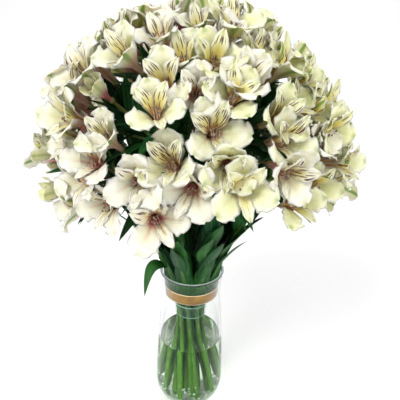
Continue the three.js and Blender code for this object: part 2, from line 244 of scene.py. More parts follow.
# The stage: the floor reaches this far, and curves up behind from this depth. Lamps are in metres.
FLOOR_REACH = 9000
CURVE_START = 900
CURVE_RADIUS = 700
CURVE_STEPS = 12
CAMERA_PLACE = (0.008, -0.511, 0.555)
LAMPS = [
    ("key", (-0.9, -1.1, 1.7), (0, 0, 0.34), 0.9, 1.0),
    ("fill", (1.3, -0.9, 1.1), (0, 0, 0.3), 1.0, 0.35),
    ("back", (0.2, 1.3, 1.6), (0, 0, 0.4), 1.0, 0.5),
]


# ---- Numbers and directions ----
def scatter(index, trait=0):
    """A number between 0 and 1 that looks random and is always the same."""
    wave = math.sin(index * 127.1 + trait * 311.7 + 11.7) * 43758.5453
    return wave - math.floor(wave)


def sway(index, trait):
    return scatter(index, trait) - 0.5


def smooth(low, high, value):
    share = min(max((value - low) / (high - low), 0), 1)
    return share * share * (3 - 2 * share)


def eased(table, place):
    """The value of a table of (place, value) at a place, on a smooth curve through its points."""
    span = 0
    while span < len(table) - 2 and place > table[span + 1][0]:
        span += 1
    (a, low), (b, high) = table[span], table[span + 1]
    before = table[max(span - 1, 0)]
    after = table[min(span + 2, len(table) - 1)]
    width = b - a
    slope_low = (high - before[1]) / max(b - before[0], 1e-6) * width
    slope_high = (after[1] - low) / max(after[0] - a, 1e-6) * width
    t = (place - a) / width
    return (
        low * (2 * t**3 - 3 * t**2 + 1)
        + slope_low * (t**3 - 2 * t**2 + t)
        + high * (3 * t**2 - 2 * t**3)
        + slope_high * (t**3 - t**2)
    )


def around(radius, angle, height):
    return Vector((radius * math.cos(angle), radius * math.sin(angle), height))


def cross_axes(direction):
    """Two axes across a direction, the second as near to upright as it can be."""
    up = UP if abs(direction.z) < 0.95 else Vector((0, 1, 0))
    across = up.cross(direction).normalized()
    return across, direction.cross(across).normalized()


def times(a, b):
    return Vector((a.x * b.x, a.y * b.y, a.z * b.z))


def over(a, b):
    return Vector((a.x / b.x, a.y / b.y, a.z / b.z))


class Line:
    """A smooth line through points, from 0 at its first to 1 at its last."""

    def __init__(self, points):
        self.points = [2 * points[0] - points[1], *points, 2 * points[-1] - points[-2]]

    def point(self, share):
        spans = len(self.points) - 3
        place = min(max(share, 0), 1) * spans
        span = min(int(place), spans - 1)
        t = place - span
        a, b, c, d = self.points[span : span + 4]
        return (
            b * (2 * t**3 - 3 * t**2 + 1)
            + (c - a) * 0.5 * (t**3 - 2 * t**2 + t)
            + c * (3 * t**2 - 2 * t**3)
            + (d - b) * 0.5 * (t**3 - t**2)
        )

    def tangent(self, share):
        step = 0.0001
        return (self.point(min(share + step, 1)) - self.point(max(share - step, 0))).normalized()

    def length(self):
        points = [self.point(step / 200) for step in range(201)]
        return sum((b - a).length for a, b in zip(points, points[1:]))


# ---- The layout of the bunch ----
def dome_edge(azimuth):
    """How far from upright the dome reaches: less in front, where the bunch parts over its stems."""
    away = azimuth - math.radians(PARTING["azimuth"])
    off = math.atan2(math.sin(away), math.cos(away))
    parting = math.exp(-((off / math.radians(PARTING["width"])) ** 2))
    depth = math.sin(azimuth)
    drop = (BACK_DROP if depth > 0 else FRONT_DROP) * abs(depth)
    return math.radians(DOME_EDGE + drop - PARTING["raise"] * parting)


def unit_direction(tilt, azimuth):
    return Vector((math.sin(tilt) * math.cos(azimuth), math.sin(tilt) * math.sin(azimuth), math.cos(tilt)))


def on_dome(unit, share):
    return times(unit, DOME) * share + DOME_CENTRE


def lay_plants():
    plants = []
    for ring in RINGS:
        for place in range(ring["count"]):
            azimuth = math.radians(ring["start"]) + place / ring["count"] * TURN
            tilt = math.radians(ring["tilt"]) * dome_edge(azimuth) / math.radians(DOME_EDGE)
            unit = unit_direction(tilt, azimuth)
            hub = on_dome(unit, HUB_SHARE)
            line = Line([
                around(ring["foot"], azimuth + math.radians(WAIST_TWIST + FOOT_TWIST), ring["foot_height"]),
                around(ring["waist"], azimuth + math.radians(WAIST_TWIST), WAIST_HEIGHT),
                around(ring["rim"], azimuth + math.radians(RIM_TWIST), RIM_CROSSING),
                hub,
            ])
            plants.append({"unit": unit, "hub": hub, "line": line, "rim": ring["rim"], "leaves": ring["leaves"],
                           "florets": []})
    seed = UNEVEN["seed"]
    for index in range(FLORETS):
        azimuth = index * GOLDEN_ANGLE + UNEVEN["azimuth"] * sway(index, seed)
        share = (index + 0.5) / FLORETS
        unit = unit_direction(math.acos(1 - share * (1 - math.cos(dome_edge(azimuth)))), azimuth)
        face = on_dome(unit, 1 - UNEVEN["depth"] * scatter(index, seed + 1))
        lean = Vector((sway(index, seed + 2), sway(index, seed + 3), sway(index, seed + 4)))
        facing = (over(unit, DOME).normalized() + lean * UNEVEN["lean"]).normalized()
        size = UNEVEN["smallest"] + UNEVEN["growth"] * scatter(index, seed + 5)
        base = face - facing * FLORET_LENGTH * size
        nod = facing + Vector((sway(index, 87), sway(index, 88), sway(index, 89))) * NOD
        owner = max(plants, key=lambda plant: plant["unit"].dot(unit))
        owner["florets"].append({"index": index, "base": base, "facing": nod.normalized(), "size": size})
    for plant in plants:
        plant["knob"] = plant["hub"] + plant["line"].tangent(1) * HUB_RADIUS
        plant["length"] = plant["line"].length()
    return plants


PLANTS = lay_plants()


# ---- Objects and node trees ----
def mesh_object(name, points, edges=(), faces=(), attributes=None):
    """An object in the scene from points in millimetres, with named numbers on its points."""
    mesh = bpy.data.meshes.new(name)
    mesh.from_pydata([point * MM for point in points], edges, faces, shade_flat=False)
    for label, values in (attributes or {}).items():
        kind = {int: "INT", float: "FLOAT", Vector: "FLOAT_VECTOR"}.get(type(values[0]), "QUATERNION")
        layer = mesh.attributes.new(label, kind, "POINT")
        key = "vector" if kind == "FLOAT_VECTOR" else "value"
        flat = [number for value in values for number in (value if hasattr(value, "__len__") else [value])]
        layer.data.foreach_set(key, flat)
    mesh.update()
    obj = bpy.data.objects.new(name, mesh)
    bpy.context.scene.collection.objects.link(obj)
    return obj


def path_object(name, paths):
    """Open paths as edges. Each path is a list of points with their numbers: (point, {label: number})."""
    points, edges, attributes = [], [], {}
    for path in paths:
        first = len(points)
        for point, numbers in path:
            points.append(point)
            for label, number in numbers.items():
                attributes.setdefault(label, []).append(number)
        edges += [(first + step, first + step + 1) for step in range(len(path) - 1)]
    return mesh_object(name, points, edges, (), attributes)


def fill(tree, node, inputs):
    """Sets a node's inputs. Each is given a value, or another node's output socket."""
    for key, value in inputs.items():
        socket = node.inputs[key]
        if isinstance(value, bpy.types.NodeSocket):
            tree.links.new(value, socket)
        else:
            socket.default_value = value
    return node


def put(tree, kind, inputs=None, **settings):
    """A new node with its settings and inputs."""
    node = tree.nodes.new(kind)
    for key, value in settings.items():
        setattr(node, key, value)
    return fill(tree, node, inputs or {})


def new_tree(name, kind, inputs, outputs):
    """A node group with named inputs (name, socket type, default) and outputs (name, socket type)."""
    tree = bpy.data.node_groups.new(name, kind)
    for label, socket_type, default in inputs:
        socket = tree.interface.new_socket(label, in_out="INPUT", socket_type=socket_type)
        if default is not None:
            socket.default_value = default
    for label, socket_type in outputs:
        tree.interface.new_socket(label, in_out="OUTPUT", socket_type=socket_type)
    return tree, tree.nodes.new("NodeGroupInput"), tree.nodes.new("NodeGroupOutput")


def named(tree, label, data_type="FLOAT"):
    return put(tree, "GeometryNodeInputNamedAttribute", {"Name": label}, data_type=data_type).outputs["Attribute"]


def stored(tree, geometry, label, value):
    return put(tree, "GeometryNodeStoreNamedAttribute", {"Geometry": geometry, "Name": label, "Value": value},
               data_type="FLOAT", domain="POINT").outputs["Geometry"]


def path_curve(tree, geometry):
    """Edges as a curve that carries how far along it each point is."""
    line = put(tree, "GeometryNodeMeshToCurve", {"Mesh": geometry})
    along = put(tree, "GeometryNodeSplineParameter")
    return stored(tree, line.outputs[0], "along", along.outputs["Factor"])


def maths(tree, operation, *values):
    return put(tree, "ShaderNodeMath", dict(enumerate(values)), operation=operation).outputs[0]


def product(tree, first, *others):
    """Two or more numbers multiplied."""
    for other in others:
        first = maths(tree, "MULTIPLY", first, other)
    return first


def new_growth(name, *inputs):
    """A geometry node group that takes geometry, its own named inputs and a material."""
    inputs = [("Geometry", "NodeSocketGeometry", None), *inputs, ("Material", "NodeSocketMaterial", None)]
    return new_tree(name, "GeometryNodeTree", inputs, [("Geometry", "NodeSocketGeometry")])


def dressed(tree, geometry, material, result):
    """Ends a tree: smooth faces, realised instances and a material."""
    soft = put(tree, "GeometryNodeSetShadeSmooth", {"Geometry": geometry})
    real = put(tree, "GeometryNodeRealizeInstances", {"Geometry": soft.outputs[0]})
    worn = put(tree, "GeometryNodeSetMaterial", {"Geometry": real.outputs[0], "Material": material})
    tree.links.new(worn.outputs[0], result)


def stalk_tree():
    """Round stalks along paths: the radius is a number on each point of the path."""
    tree, given, result = new_growth("Stalk Along Path", ("Sides", "NodeSocketInt", 10),
                                     ("Thickness", "NodeSocketFloat", 1.0))
    section = put(tree, "GeometryNodeCurvePrimitiveCircle",
                  {"Resolution": given.outputs["Sides"], "Radius": 1.0}, mode="RADIUS")
    skin = put(tree, "GeometryNodeCurveToMesh",
               {"Curve": path_curve(tree, given.outputs["Geometry"]), "Profile Curve": section.outputs[0],
                "Scale": product(tree, named(tree, "radius"), given.outputs["Thickness"]), "Fill Caps": True})
    dressed(tree, skin.outputs[0], given.outputs["Material"], result.inputs["Geometry"])
    return tree


def blade_tree():
    """Leaf blades along paths: a folded section, as wide as each point's radius, rippled at its edges."""
    tree, given, result = new_growth("Blade Along Path", ("Section", "NodeSocketObject", None),
                                     ("Ripple", "NodeSocketFloat", 0.0006), ("Ripple Scale", "NodeSocketFloat", 60.0))
    line = path_curve(tree, given.outputs["Geometry"])
    laid = put(tree, "GeometryNodeSetCurveNormal", {"Curve": line, "Normal": named(tree, "flat", "FLOAT_VECTOR")},
               mode="FREE")
    part = put(tree, "GeometryNodeObjectInfo", {"Object": given.outputs["Section"]})
    section = put(tree, "GeometryNodeMeshToCurve", {"Mesh": part.outputs["Geometry"]})
    skin = put(tree, "GeometryNodeCurveToMesh",
               {"Curve": laid.outputs[0], "Profile Curve": section.outputs[0],
                "Scale": named(tree, "radius"), "Fill Caps": True})
    ripple = put(tree, "ShaderNodeTexNoise", {"Scale": given.outputs["Ripple Scale"], "Detail": 1.0})
    edge = maths(tree, "POWER", named(tree, "across"), 2.0)
    lift = product(tree, maths(tree, "SUBTRACT", ripple.outputs[0], 0.5), given.outputs["Ripple"], edge)
    up = put(tree, "ShaderNodeCombineXYZ", {"Z": lift})
    rippled = put(tree, "GeometryNodeSetPosition", {"Geometry": skin.outputs[0], "Offset": up.outputs[0]})
    dressed(tree, rippled.outputs[0], given.outputs["Material"], result.inputs["Geometry"])
    return tree


def floret_tree():
    """One of several shapes on each point, turned, sized and tinted by the point's own numbers."""
    tree, given, result = new_growth("Florets On Points", ("Shapes", "NodeSocketCollection", None),
                                     ("Size", "NodeSocketFloat", 1.0))
    shapes = put(tree, "GeometryNodeCollectionInfo",
                 {"Collection": given.outputs["Shapes"], "Separate Children": True, "Reset Children": True})
    placed = put(tree, "GeometryNodeInstanceOnPoints",
                 {"Points": given.outputs["Geometry"], "Instance": shapes.outputs[0], "Pick Instance": True,
                  "Instance Index": named(tree, "pick", "INT"), "Rotation": named(tree, "turn", "QUATERNION"),
                  "Scale": product(tree, named(tree, "grow"), given.outputs["Size"])})
    dressed(tree, placed.outputs[0], given.outputs["Material"], result.inputs["Geometry"])
    return tree


def tree_named(name, make):
    return bpy.data.node_groups.get(name) or make()


def bubble_tree():
    """Small round bubbles spread over a surface, from a fixed seed."""
    tree, given, result = new_growth("Bubbles On Glass", ("Density", "NodeSocketFloat", 3000.0),
                                     ("Smallest", "NodeSocketFloat", 0.0005), ("Largest", "NodeSocketFloat", 0.002),
                                     ("Seed", "NodeSocketInt", 7))
    seed = given.outputs["Seed"]
    spots = put(tree, "GeometryNodeDistributePointsOnFaces",
                {"Mesh": given.outputs["Geometry"], "Density": given.outputs["Density"], "Seed": seed})
    ball = put(tree, "GeometryNodeMeshIcoSphere", {"Radius": 1.0, "Subdivisions": 2})
    size = put(tree, "FunctionNodeRandomValue",
               {"Seed": seed, 2: given.outputs["Smallest"], 3: given.outputs["Largest"]},
               data_type="FLOAT")
    placed = put(tree, "GeometryNodeInstanceOnPoints",
                 {"Points": spots.outputs[0], "Instance": ball.outputs[0], "Scale": size.outputs[1]})
    dressed(tree, placed.outputs[0], given.outputs["Material"], result.inputs["Geometry"])
    return tree


def grown(rough, tree, inputs, keep=("along", "across", "tint", "kind", "back", "young")):
    """Runs a geometry node tree on an object and leaves its result there as a plain mesh."""
    modifier = rough.modifiers.new("Growth", "NODES")
    modifier.node_group = tree
    for item in tree.interface.items_tree:
        if item.item_type == "SOCKET" and item.in_out == "INPUT" and item.name in inputs:
            modifier[item.identifier] = inputs[item.name]
    graph = bpy.context.evaluated_depsgraph_get()
    shown = rough.evaluated_get(graph)
    mesh = bpy.data.meshes.new_from_object(shown, preserve_all_data_layers=True, depsgraph=graph)
    rough.modifiers.remove(modifier)
    spent = rough.data
    rough.data = mesh
    bpy.data.meshes.remove(spent)
    # The numbers that only shaped the piece go, and those that its material reads stay.
    for label in [layer.name for layer in mesh.attributes if layer.domain == "POINT"]:
        if label not in keep and label != "position":
            mesh.attributes.remove(mesh.attributes[label])
    mesh.name = rough.name
    return rough


def stalks(name, paths, sides, coat):
    """Round stalks along paths, as a plain mesh."""
    return grown(path_object(name, paths), tree_named("Stalk Along Path", stalk_tree),
                 {"Sides": sides, "Thickness": 1.0, "Material": coat})


def discard(*patterns):
    """Removes the pattern objects that a tree has copied."""
    for pattern in patterns:
        mesh = pattern.data
        bpy.data.objects.remove(pattern)
        bpy.data.meshes.remove(mesh)


def face_out(mesh):
    """Turns a closed mesh's faces outwards if they point in."""
    form = bmesh.new()
    form.from_mesh(mesh)
    if form.calc_volume(signed=True) < 0:
        bmesh.ops.reverse_faces(form, faces=form.faces)
        form.to_mesh(mesh)
    form.free()


def settle(piece, slot, *nodes, coat=None):
    """Ends a piece: faces out, its finish, its place in the frame, and the solids that it stands for."""
    face_out(piece.data)
    if coat is not None:
        piece.data.materials.clear()
        piece.data.materials.append(coat)
    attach(piece, "root")
    if nodes:
        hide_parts(*nodes)
    return piece


def turned(name, profile, sides=LATHE_SIDES):
    """A closed body turned round the vase's axis from (radius, height) pairs that start and end on the axis."""
    points, faces, rings = [], [], []
    for radius, height in profile:
        if radius < 1e-6:
            rings.append([len(points)])
            points.append(Vector((0, 0, height)))
            continue
        rings.append(list(range(len(points), len(points) + sides)))
        points += [around(radius, side / sides * TURN, height) for side in range(sides)]
    for low, high in zip(rings, rings[1:]):
        for side in range(sides):
            after = (side + 1) % sides
            corners = [low[side % len(low)], low[after % len(low)], high[after % len(high)], high[side % len(high)]]
            faces.append(list(dict.fromkeys(corners)))
    return mesh_object(name, points, (), faces)


# ---- Shader helpers ----
def paint(red, green, blue):
    """A screen colour from 0 to 255 as the linear colour that a shader reads."""
    def linear(value):
        share = value / 255
        return share / 12.92 if share <= 0.04045 else ((share + 0.055) / 1.055) ** 2.4
    return (linear(red), linear(green), linear(blue), 1.0)


def new_material(name):
    material = bpy.data.materials.new(name)
    material.use_nodes = True
    tree = material.node_tree
    shader = next(node for node in tree.nodes if node.type == "BSDF_PRINCIPLED")
    return material, tree, shader


def blend(tree, share, low, high):
    """A colour between two, by a share from 0 to 1. The colours are the mix node's sockets 6 and 7."""
    return put(tree, "ShaderNodeMix", {0: share, 6: low, 7: high}, data_type="RGBA").outputs[2]


def span(tree, value, low, high, start=0.0, end=1.0):
    """A value's smooth way from start to end, between two limits."""
    return put(tree, "ShaderNodeMapRange",
               {"Value": value, "From Min": low, "From Max": high, "To Min": start, "To Max": end},
               interpolation_type="SMOOTHSTEP").outputs["Result"]


def number(tree, label):
    """A number that the mesh carries by name."""
    return put(tree, "ShaderNodeAttribute", attribute_name=label, attribute_type="GEOMETRY").outputs["Fac"]


def place(tree):
    return tree.nodes.new("ShaderNodeTexCoord").outputs["Object"]


def noise(tree, vector, scale, detail=2.0):
    return put(tree, "ShaderNodeTexNoise", {"Vector": vector, "Scale": scale, "Detail": detail}).outputs[0]


def bumped(tree, shader, height, strength, distance):
    bump = put(tree, "ShaderNodeBump", {"Height": height, "Strength": strength, "Distance": distance})
    tree.links.new(bump.outputs[0], shader.inputs["Normal"])


def group(tree, name, maker, inputs):
    """A shader node group in a material, with its own values. The group is built the first time."""
    return put(tree, "ShaderNodeGroup", inputs, node_tree=tree_named(name, maker))


def parallel_veins():
    """Veins that run the length of a blade, fanned by its width, and the rib down its middle."""
    defaults = {"Across": 0.0, "Along": 0.0, "Count": 6.0, "Waver": 0.3, "Midrib": 0.08}
    tree, given, result = new_tree(
        "Parallel Veins", "ShaderNodeTree", [(label, "NodeSocketFloat", value) for label, value in defaults.items()],
        [(label, "NodeSocketFloat") for label in ("Veins", "Rib", "Height")])
    across, along = given.outputs["Across"], given.outputs["Along"]
    spot = put(tree, "ShaderNodeCombineXYZ", {"X": across, "Y": along})
    waver = product(tree, noise(tree, spot.outputs[0], 5.0), given.outputs["Waver"])
    lines = maths(tree, "ADD", product(tree, across, given.outputs["Count"]), waver)
    wave = maths(tree, "COSINE", product(tree, lines, TURN))
    veins = span(tree, wave, 0.35, 1.0)
    off = maths(tree, "DIVIDE", maths(tree, "ABSOLUTE", across), given.outputs["Midrib"])
    rib = span(tree, off, 1.0, 0.2)
    tree.links.new(veins, result.inputs["Veins"])
    tree.links.new(rib, result.inputs["Rib"])
    tree.links.new(maths(tree, "SUBTRACT", veins, product(tree, rib, 1.6)), result.inputs["Height"])
    return tree


def living_mottle():
    """Cloudy unevenness of plant skin, coarse and fine together."""
    tree, given, result = new_tree(
        "Living Mottle",
        "ShaderNodeTree",
        [
            ("Vector", "NodeSocketVector", None),
            ("Coarse", "NodeSocketFloat", 40.0),
            ("Fine", "NodeSocketFloat", 600.0),
        ],
        [("Cloud", "NodeSocketFloat"), ("Grain", "NodeSocketFloat")],
    )
    vector = given.outputs["Vector"]
    cloud = span(tree, noise(tree, vector, given.outputs["Coarse"], 3.0), 0.32, 0.68)
    grain = noise(tree, vector, given.outputs["Fine"], 2.0)
    tree.links.new(cloud, result.inputs["Cloud"])
    tree.links.new(grain, result.inputs["Grain"])
    return tree


def mottle(tree, coarse, fine):
    """The cloud and the grain of plant skin or satin, at two scales."""
    node = group(tree, "Living Mottle", living_mottle, {"Vector": place(tree), "Coarse": coarse, "Fine": fine})
    return node.outputs["Cloud"], node.outputs["Grain"]


def veined(tree, across, along, count, waver, midrib):
    """The veins of a blade, its rib, and the height of both."""
    node = group(tree, "Parallel Veins", parallel_veins,
                 {"Across": across, "Along": along, "Count": count, "Waver": waver, "Midrib": midrib})
    return node.outputs["Veins"], node.outputs["Rib"], node.outputs["Height"]


# ---- Materials ----
def glass_material(look):
    material, tree, shader = new_material("clear_glass")
    smudge = span(tree, noise(tree, place(tree), 28.0, 4.0), 0.45, 0.75, 0.0, look.smudge)
    height = put(tree, "ShaderNodeSeparateXYZ", {"Vector": place(tree)}).outputs["Z"]
    rim = span(tree, height, (VASE_HEIGHT - 3.5) * MM, (VASE_HEIGHT - 1.5) * MM)
    ground = product(tree, rim, 0.45)
    # A painted glow: the top of the lip emits a pale line that stands in for the room's light caught there.
    lip = span(tree, height, (VASE_HEIGHT - 1.1) * MM, (VASE_HEIGHT - 0.3) * MM)
    fill(tree, shader, {
        "Base Color": (0.985, 0.995, 0.99, 1), "Transmission Weight": 1.0, "IOR": 1.48,
        "Specular Tint": (0.2, 0.2, 0.2, 1), "Roughness": maths(tree, "MAXIMUM", smudge, ground),
        "Alpha": span(tree, rim, 0.0, 1.0, 1.0, 0.4), "Emission Strength": 1.0,
        "Emission Color": blend(tree, lip, (0, 0, 0, 1), (0.8, 0.95, 0.92, 1)),
    })
    bumped(tree, shader, noise(tree, place(tree), 22.0, 1.0), 0.12, 0.0008)
    lit_through(tree, shader, (0.96, 0.98, 0.97, 1))
    return material


def water_material():
    material, tree, shader = new_material("still_water")
    fill(tree, shader, {"Base Color": (0.8, 0.955, 0.74, 1), "Transmission Weight": 1.0, "IOR": 1.333,
                        "Specular Tint": (0.2, 0.2, 0.2, 1), "Roughness": 0.0})
    bumped(tree, shader, noise(tree, place(tree), 35.0, 1.0), 0.05, 0.0005)
    lit_through(tree, shader, (0.95, 0.99, 0.93, 1))
    return material


def bubble_material():
    material, tree, shader = new_material("air_bubble")
    # The bubbles are near-white and mostly opaque: a painted highlight that stands in for the glints of clear air in
    # water.
    tint = blend(tree, noise(tree, place(tree), 90.0), paint(252, 255, 253), paint(232, 244, 238))
    fill(tree, shader, {"Base Color": tint, "Roughness": 0.08, "Transmission Weight": 0.35})
    return material


def ribbon_material(look):
    material, tree, shader = new_material("gold_satin")
    along, across = number(tree, "along"), number(tree, "across")
    weft = maths(tree, "SINE", product(tree, along, 1500.0))
    warp = maths(tree, "SINE", product(tree, across, 90.0))
    weave = maths(tree, "ADD", weft, warp)
    # Painted highlight: the pale stripes along both edges of the ribbon stand in for light caught on them.
    edge = span(tree, maths(tree, "ABSOLUTE", across), 0.86, 0.93)
    cloud = mottle(tree, 60.0, 1500.0)[0]
    base = blend(tree, cloud, (*look.ribbon_colour, 1), paint(134, 92, 18))
    fill(tree, shader, {"Base Color": blend(tree, edge, base, paint(240, 222, 178)), "Metallic": 0.35,
                        "Roughness": span(tree, weave, -2.0, 2.0, 0.3, 0.48), "Sheen Weight": 0.25})
    bumped(tree, shader, weave, 0.25, 0.0001)
    return material


def tape_material():
    material, tree, shader = new_material("clear_tape")
    along, across = number(tree, "along"), number(tree, "across")
    edge = span(tree, maths(tree, "ABSOLUTE", across), 0.86, 0.95)
    wrinkle = noise(tree, place(tree), 160.0, 3.0)
    # The tape shows only at its two edges and at its loose end.
    end = span(tree, along, 0.97, 1.0, 0.03, 0.2)
    fill(tree, shader, {"Base Color": blend(tree, edge, paint(150, 205, 180), paint(176, 236, 212)),
                        "Roughness": span(tree, wrinkle, 0.3, 0.7, 0.1, 0.3),
                        "Alpha": maths(tree, "ADD", end, product(tree, edge, 0.7))})
    bumped(tree, shader, wrinkle, 0.4, 0.0004)
    return material


def stem_material(look):
    material, tree, shader = new_material("green_stem")
    along, tint = number(tree, "along"), number(tree, "tint")
    spot = put(tree, "ShaderNodeMapping", {"Vector": place(tree), "Scale": (1.0, 1.0, 0.06)})
    streak = noise(tree, spot.outputs[0], 900.0, 3.0)
    cloud, grain = mottle(tree, 45.0, 700.0)
    body = blend(tree, cloud, (*look.stem_colour, 1), paint(36, 86, 18))
    wet = span(tree, along, 0.34, 0.2)
    body = blend(tree, product(tree, wet, 0.85), body, paint(70, 124, 6))
    body = blend(tree, span(tree, streak, 0.42, 0.68, 0.0, 0.65), body, paint(112, 160, 44))
    body = blend(tree, span(tree, tint, 0.0, 1.0, 0.0, 0.35), body, paint(22, 66, 18))
    fill(tree, shader, {"Base Color": body, "Roughness": span(tree, grain, 0.3, 0.7, 0.34, 0.5),
                        "Subsurface Weight": 0.12, "Subsurface Radius": (0.4, 1.0, 0.2), "Subsurface Scale": 0.002})
    bumped(tree, shader, streak, 0.35, 0.0005)
    return material


def leaf_material(look):
    material, tree, shader = new_material("alstroemeria_leaf")
    along, across, tint = number(tree, "along"), number(tree, "across"), number(tree, "tint")
    veins, midrib, relief = veined(tree, across, along, 5.0, 0.12, 0.09)
    cloud, grain = mottle(tree, 38.0, 900.0)
    body = blend(tree, tint, (*look.leaf_colour, 1), paint(40, 104, 34))
    body = blend(tree, product(tree, cloud, 0.55), body, paint(8, 46, 20))
    body = blend(tree, product(tree, veins, 0.18), body, paint(70, 128, 62))
    body = blend(tree, product(tree, midrib, 0.3), body, paint(104, 142, 78))
    body = blend(tree, span(tree, along, 0.9, 1.0, 0.0, 0.4), body, paint(104, 140, 66))
    fill(tree, shader, {"Base Color": body, "Roughness": span(tree, grain, 0.25, 0.75, 0.38, 0.55),
                        "Specular IOR Level": 0.2})
    bumped(tree, shader, relief, 0.45, 0.0004)
    return material


def petal_material(look):
    material, tree, shader = new_material("alstroemeria_tepal")
    along, across = number(tree, "along"), number(tree, "across")
    kind, back, tint = number(tree, "kind"), number(tree, "back"), number(tree, "tint")
    young = number(tree, "young")
    veins, _, relief = veined(tree, across, along, 6.0, 0.5, 0.16)
    cloud, grain = mottle(tree, 70.0, 1200.0)
    side = maths(tree, "ABSOLUTE", across)
    inner = span(tree, kind, 0.3, 0.9)
    warm = span(tree, tint, 0.35, 0.95)
    body = blend(tree, warm, (*look.petal_colour, 1), paint(231, 230, 176))
    body = blend(tree, product(tree, cloud, 0.3), body, paint(246, 244, 236))
    body = blend(tree, product(tree, young, 0.6), body, paint(216, 214, 132))
    # The middle of a tepal is greener than its edges, more so on the creamier florets.
    middle = product(tree, span(tree, side, 0.85, 0.1), span(tree, along, 0.95, 0.6))
    middle = product(tree, middle, span(tree, tint, 0.0, 1.0, 0.25, 0.7))
    body = blend(tree, middle, body, paint(200, 211, 142))
    # Whiter towards the edges: partly the tepals' own pale margins, partly a painted highlight along them.
    body = blend(tree, span(tree, side, 0.6, 1.0, 0.0, 0.5), body, paint(244, 244, 230))
    body = blend(tree, product(tree, veins, 0.16), body, paint(204, 200, 150))
    # Pink comes up from the claw, farther along the rib, and more of it on the pinker florets.
    pinker = span(tree, tint, 0.95, 0.1, 0.3, 1.0)
    claw = span(tree, maths(tree, "SUBTRACT", along, product(tree, back, 0.12)), 0.54, 0.2)
    body = blend(tree, product(tree, claw, pinker), body, paint(200, 96, 108))
    rib = product(tree, span(tree, side, 0.2, 0.04), span(tree, along, 0.9, 0.45))
    body = blend(tree, product(tree, rib, pinker, 0.45), body, paint(204, 120, 134))
    # The inner tepals: orange low down, a yellow zone above it, and maroon dashes over both.
    low = product(tree, span(tree, along, 0.62, 0.34), inner, 0.6)
    zone = product(tree, span(tree, along, 0.86, 0.62), inner)
    yellow = product(tree, zone, span(tree, tint, 0.0, 1.0, 0.3, 0.66))
    body = blend(tree, yellow, body, blend(tree, tint, paint(240, 214, 132), paint(228, 200, 72)))
    body = blend(tree, low, body, blend(tree, tint, paint(204, 116, 82), paint(206, 140, 50)))
    spot = put(tree, "ShaderNodeCombineXYZ",
               {"X": product(tree, across, 5.6),
                "Y": maths(tree, "ADD", product(tree, along, 3.4), product(tree, kind, 3.7)),
                "Z": product(tree, tint, 23.0)})
    cells = put(tree, "ShaderNodeTexVoronoi", {"Vector": spot.outputs[0], "Scale": 1.0, "Randomness": 0.8})
    dash = span(tree, cells.outputs["Distance"], 0.43, 0.33)
    band = product(tree, span(tree, along, 0.34, 0.44), span(tree, along, 0.95, 0.86))
    dashes = product(tree, product(tree, dash, band), product(tree, inner, 0.96))
    clear = product(tree, dashes, span(tree, side, 0.98, 0.8))
    body = blend(tree, clear, body, paint(70, 14, 30))
    # Green: a short point at each tip, and a streak down the middle of the back.
    tip = product(tree, span(tree, along, 0.88, 0.98), span(tree, side, 0.7, 0.15))
    tip = product(tree, tip, span(tree, tint, 0.0, 1.0, 0.2, 0.6))
    body = blend(tree, tip, body, paint(118, 144, 52))
    streak = product(tree, span(tree, side, 0.34, 0.08), back, span(tree, along, 0.25, 0.95, 0.3, 0.95),
                     span(tree, young, 0.0, 1.0, 0.95, 0.5))
    body = blend(tree, streak, body, paint(104, 150, 36))
    fill(tree, shader, {"Base Color": body, "Roughness": span(tree, grain, 0.25, 0.75, 0.42, 0.58),
                        "Subsurface Weight": 0.5, "Subsurface Radius": (1.0, 0.9, 0.65), "Subsurface Scale": 0.0014,
                        "Sheen Weight": 0.12})
    bumped(tree, shader, relief, 0.4, 0.0004)
    return material


def stamen_material():
    material, tree, shader = new_material("stamen")
    kind, along = number(tree, "kind"), number(tree, "along")
    cloud, grain = mottle(tree, 300.0, 2500.0)
    thread = blend(tree, span(tree, along, 0.2, 0.9), paint(226, 160, 160), paint(240, 214, 196))
    pollen = blend(tree, cloud, paint(96, 84, 82), paint(142, 128, 104))
    fill(tree, shader, {"Base Color": blend(tree, kind, thread, pollen),
                        "Roughness": span(tree, grain, 0.3, 0.7, 0.45, 0.75)})
    bumped(tree, shader, grain, 0.4, 0.0003)
    return material


def pedicel_material():
    material, tree, shader = new_material("pedicel")
    along, tint = number(tree, "along"), number(tree, "tint")
    cloud, grain = mottle(tree, 70.0, 1000.0)
    body = blend(tree, cloud, paint(96, 136, 62), paint(124, 152, 78))
    flush = product(tree, span(tree, along, 0.25, 0.8), span(tree, tint, 1.0, 0.0, 0.05, 0.5))
    body = blend(tree, flush, body, paint(168, 92, 88))
    spot = put(tree, "ShaderNodeMapping", {"Vector": place(tree), "Scale": (1.0, 1.0, 0.3)})
    ribs = noise(tree, spot.outputs[0], 700.0)
    body = blend(tree, span(tree, ribs, 0.45, 0.75, 0.0, 0.4), body, paint(70, 104, 44))
    fill(tree, shader, {"Base Color": body, "Roughness": span(tree, grain, 0.3, 0.7, 0.4, 0.55)})
    bumped(tree, shader, ribs, 0.5, 0.0005)
    return material


def backdrop_material():
    material, tree, shader = new_material("pale_backdrop")
    tone = blend(tree, noise(tree, place(tree), 1.2), (0.83, 0.83, 0.83, 1), (0.86, 0.86, 0.86, 1))
    fill(tree, shader, {"Base Color": tone, "Roughness": 0.75})
    return material


def lit_through(tree, shader, tint):
    """Lets the lamps' light straight through a clear body, so that what stands in it is lit."""
    path = tree.nodes.new("ShaderNodeLightPath")
    gap = put(tree, "ShaderNodeBsdfTransparent", {"Color": tint})
    mix = put(tree, "ShaderNodeMixShader",
              {0: path.outputs["Is Shadow Ray"], 1: shader.outputs[0], 2: gap.outputs[0]})
    output = next(node for node in tree.nodes if node.type == "OUTPUT_MATERIAL")
    tree.links.new(mix.outputs[0], output.inputs["Surface"])


def worn(name, make, *settings):
    return bpy.data.materials.get(name) or make(*settings)


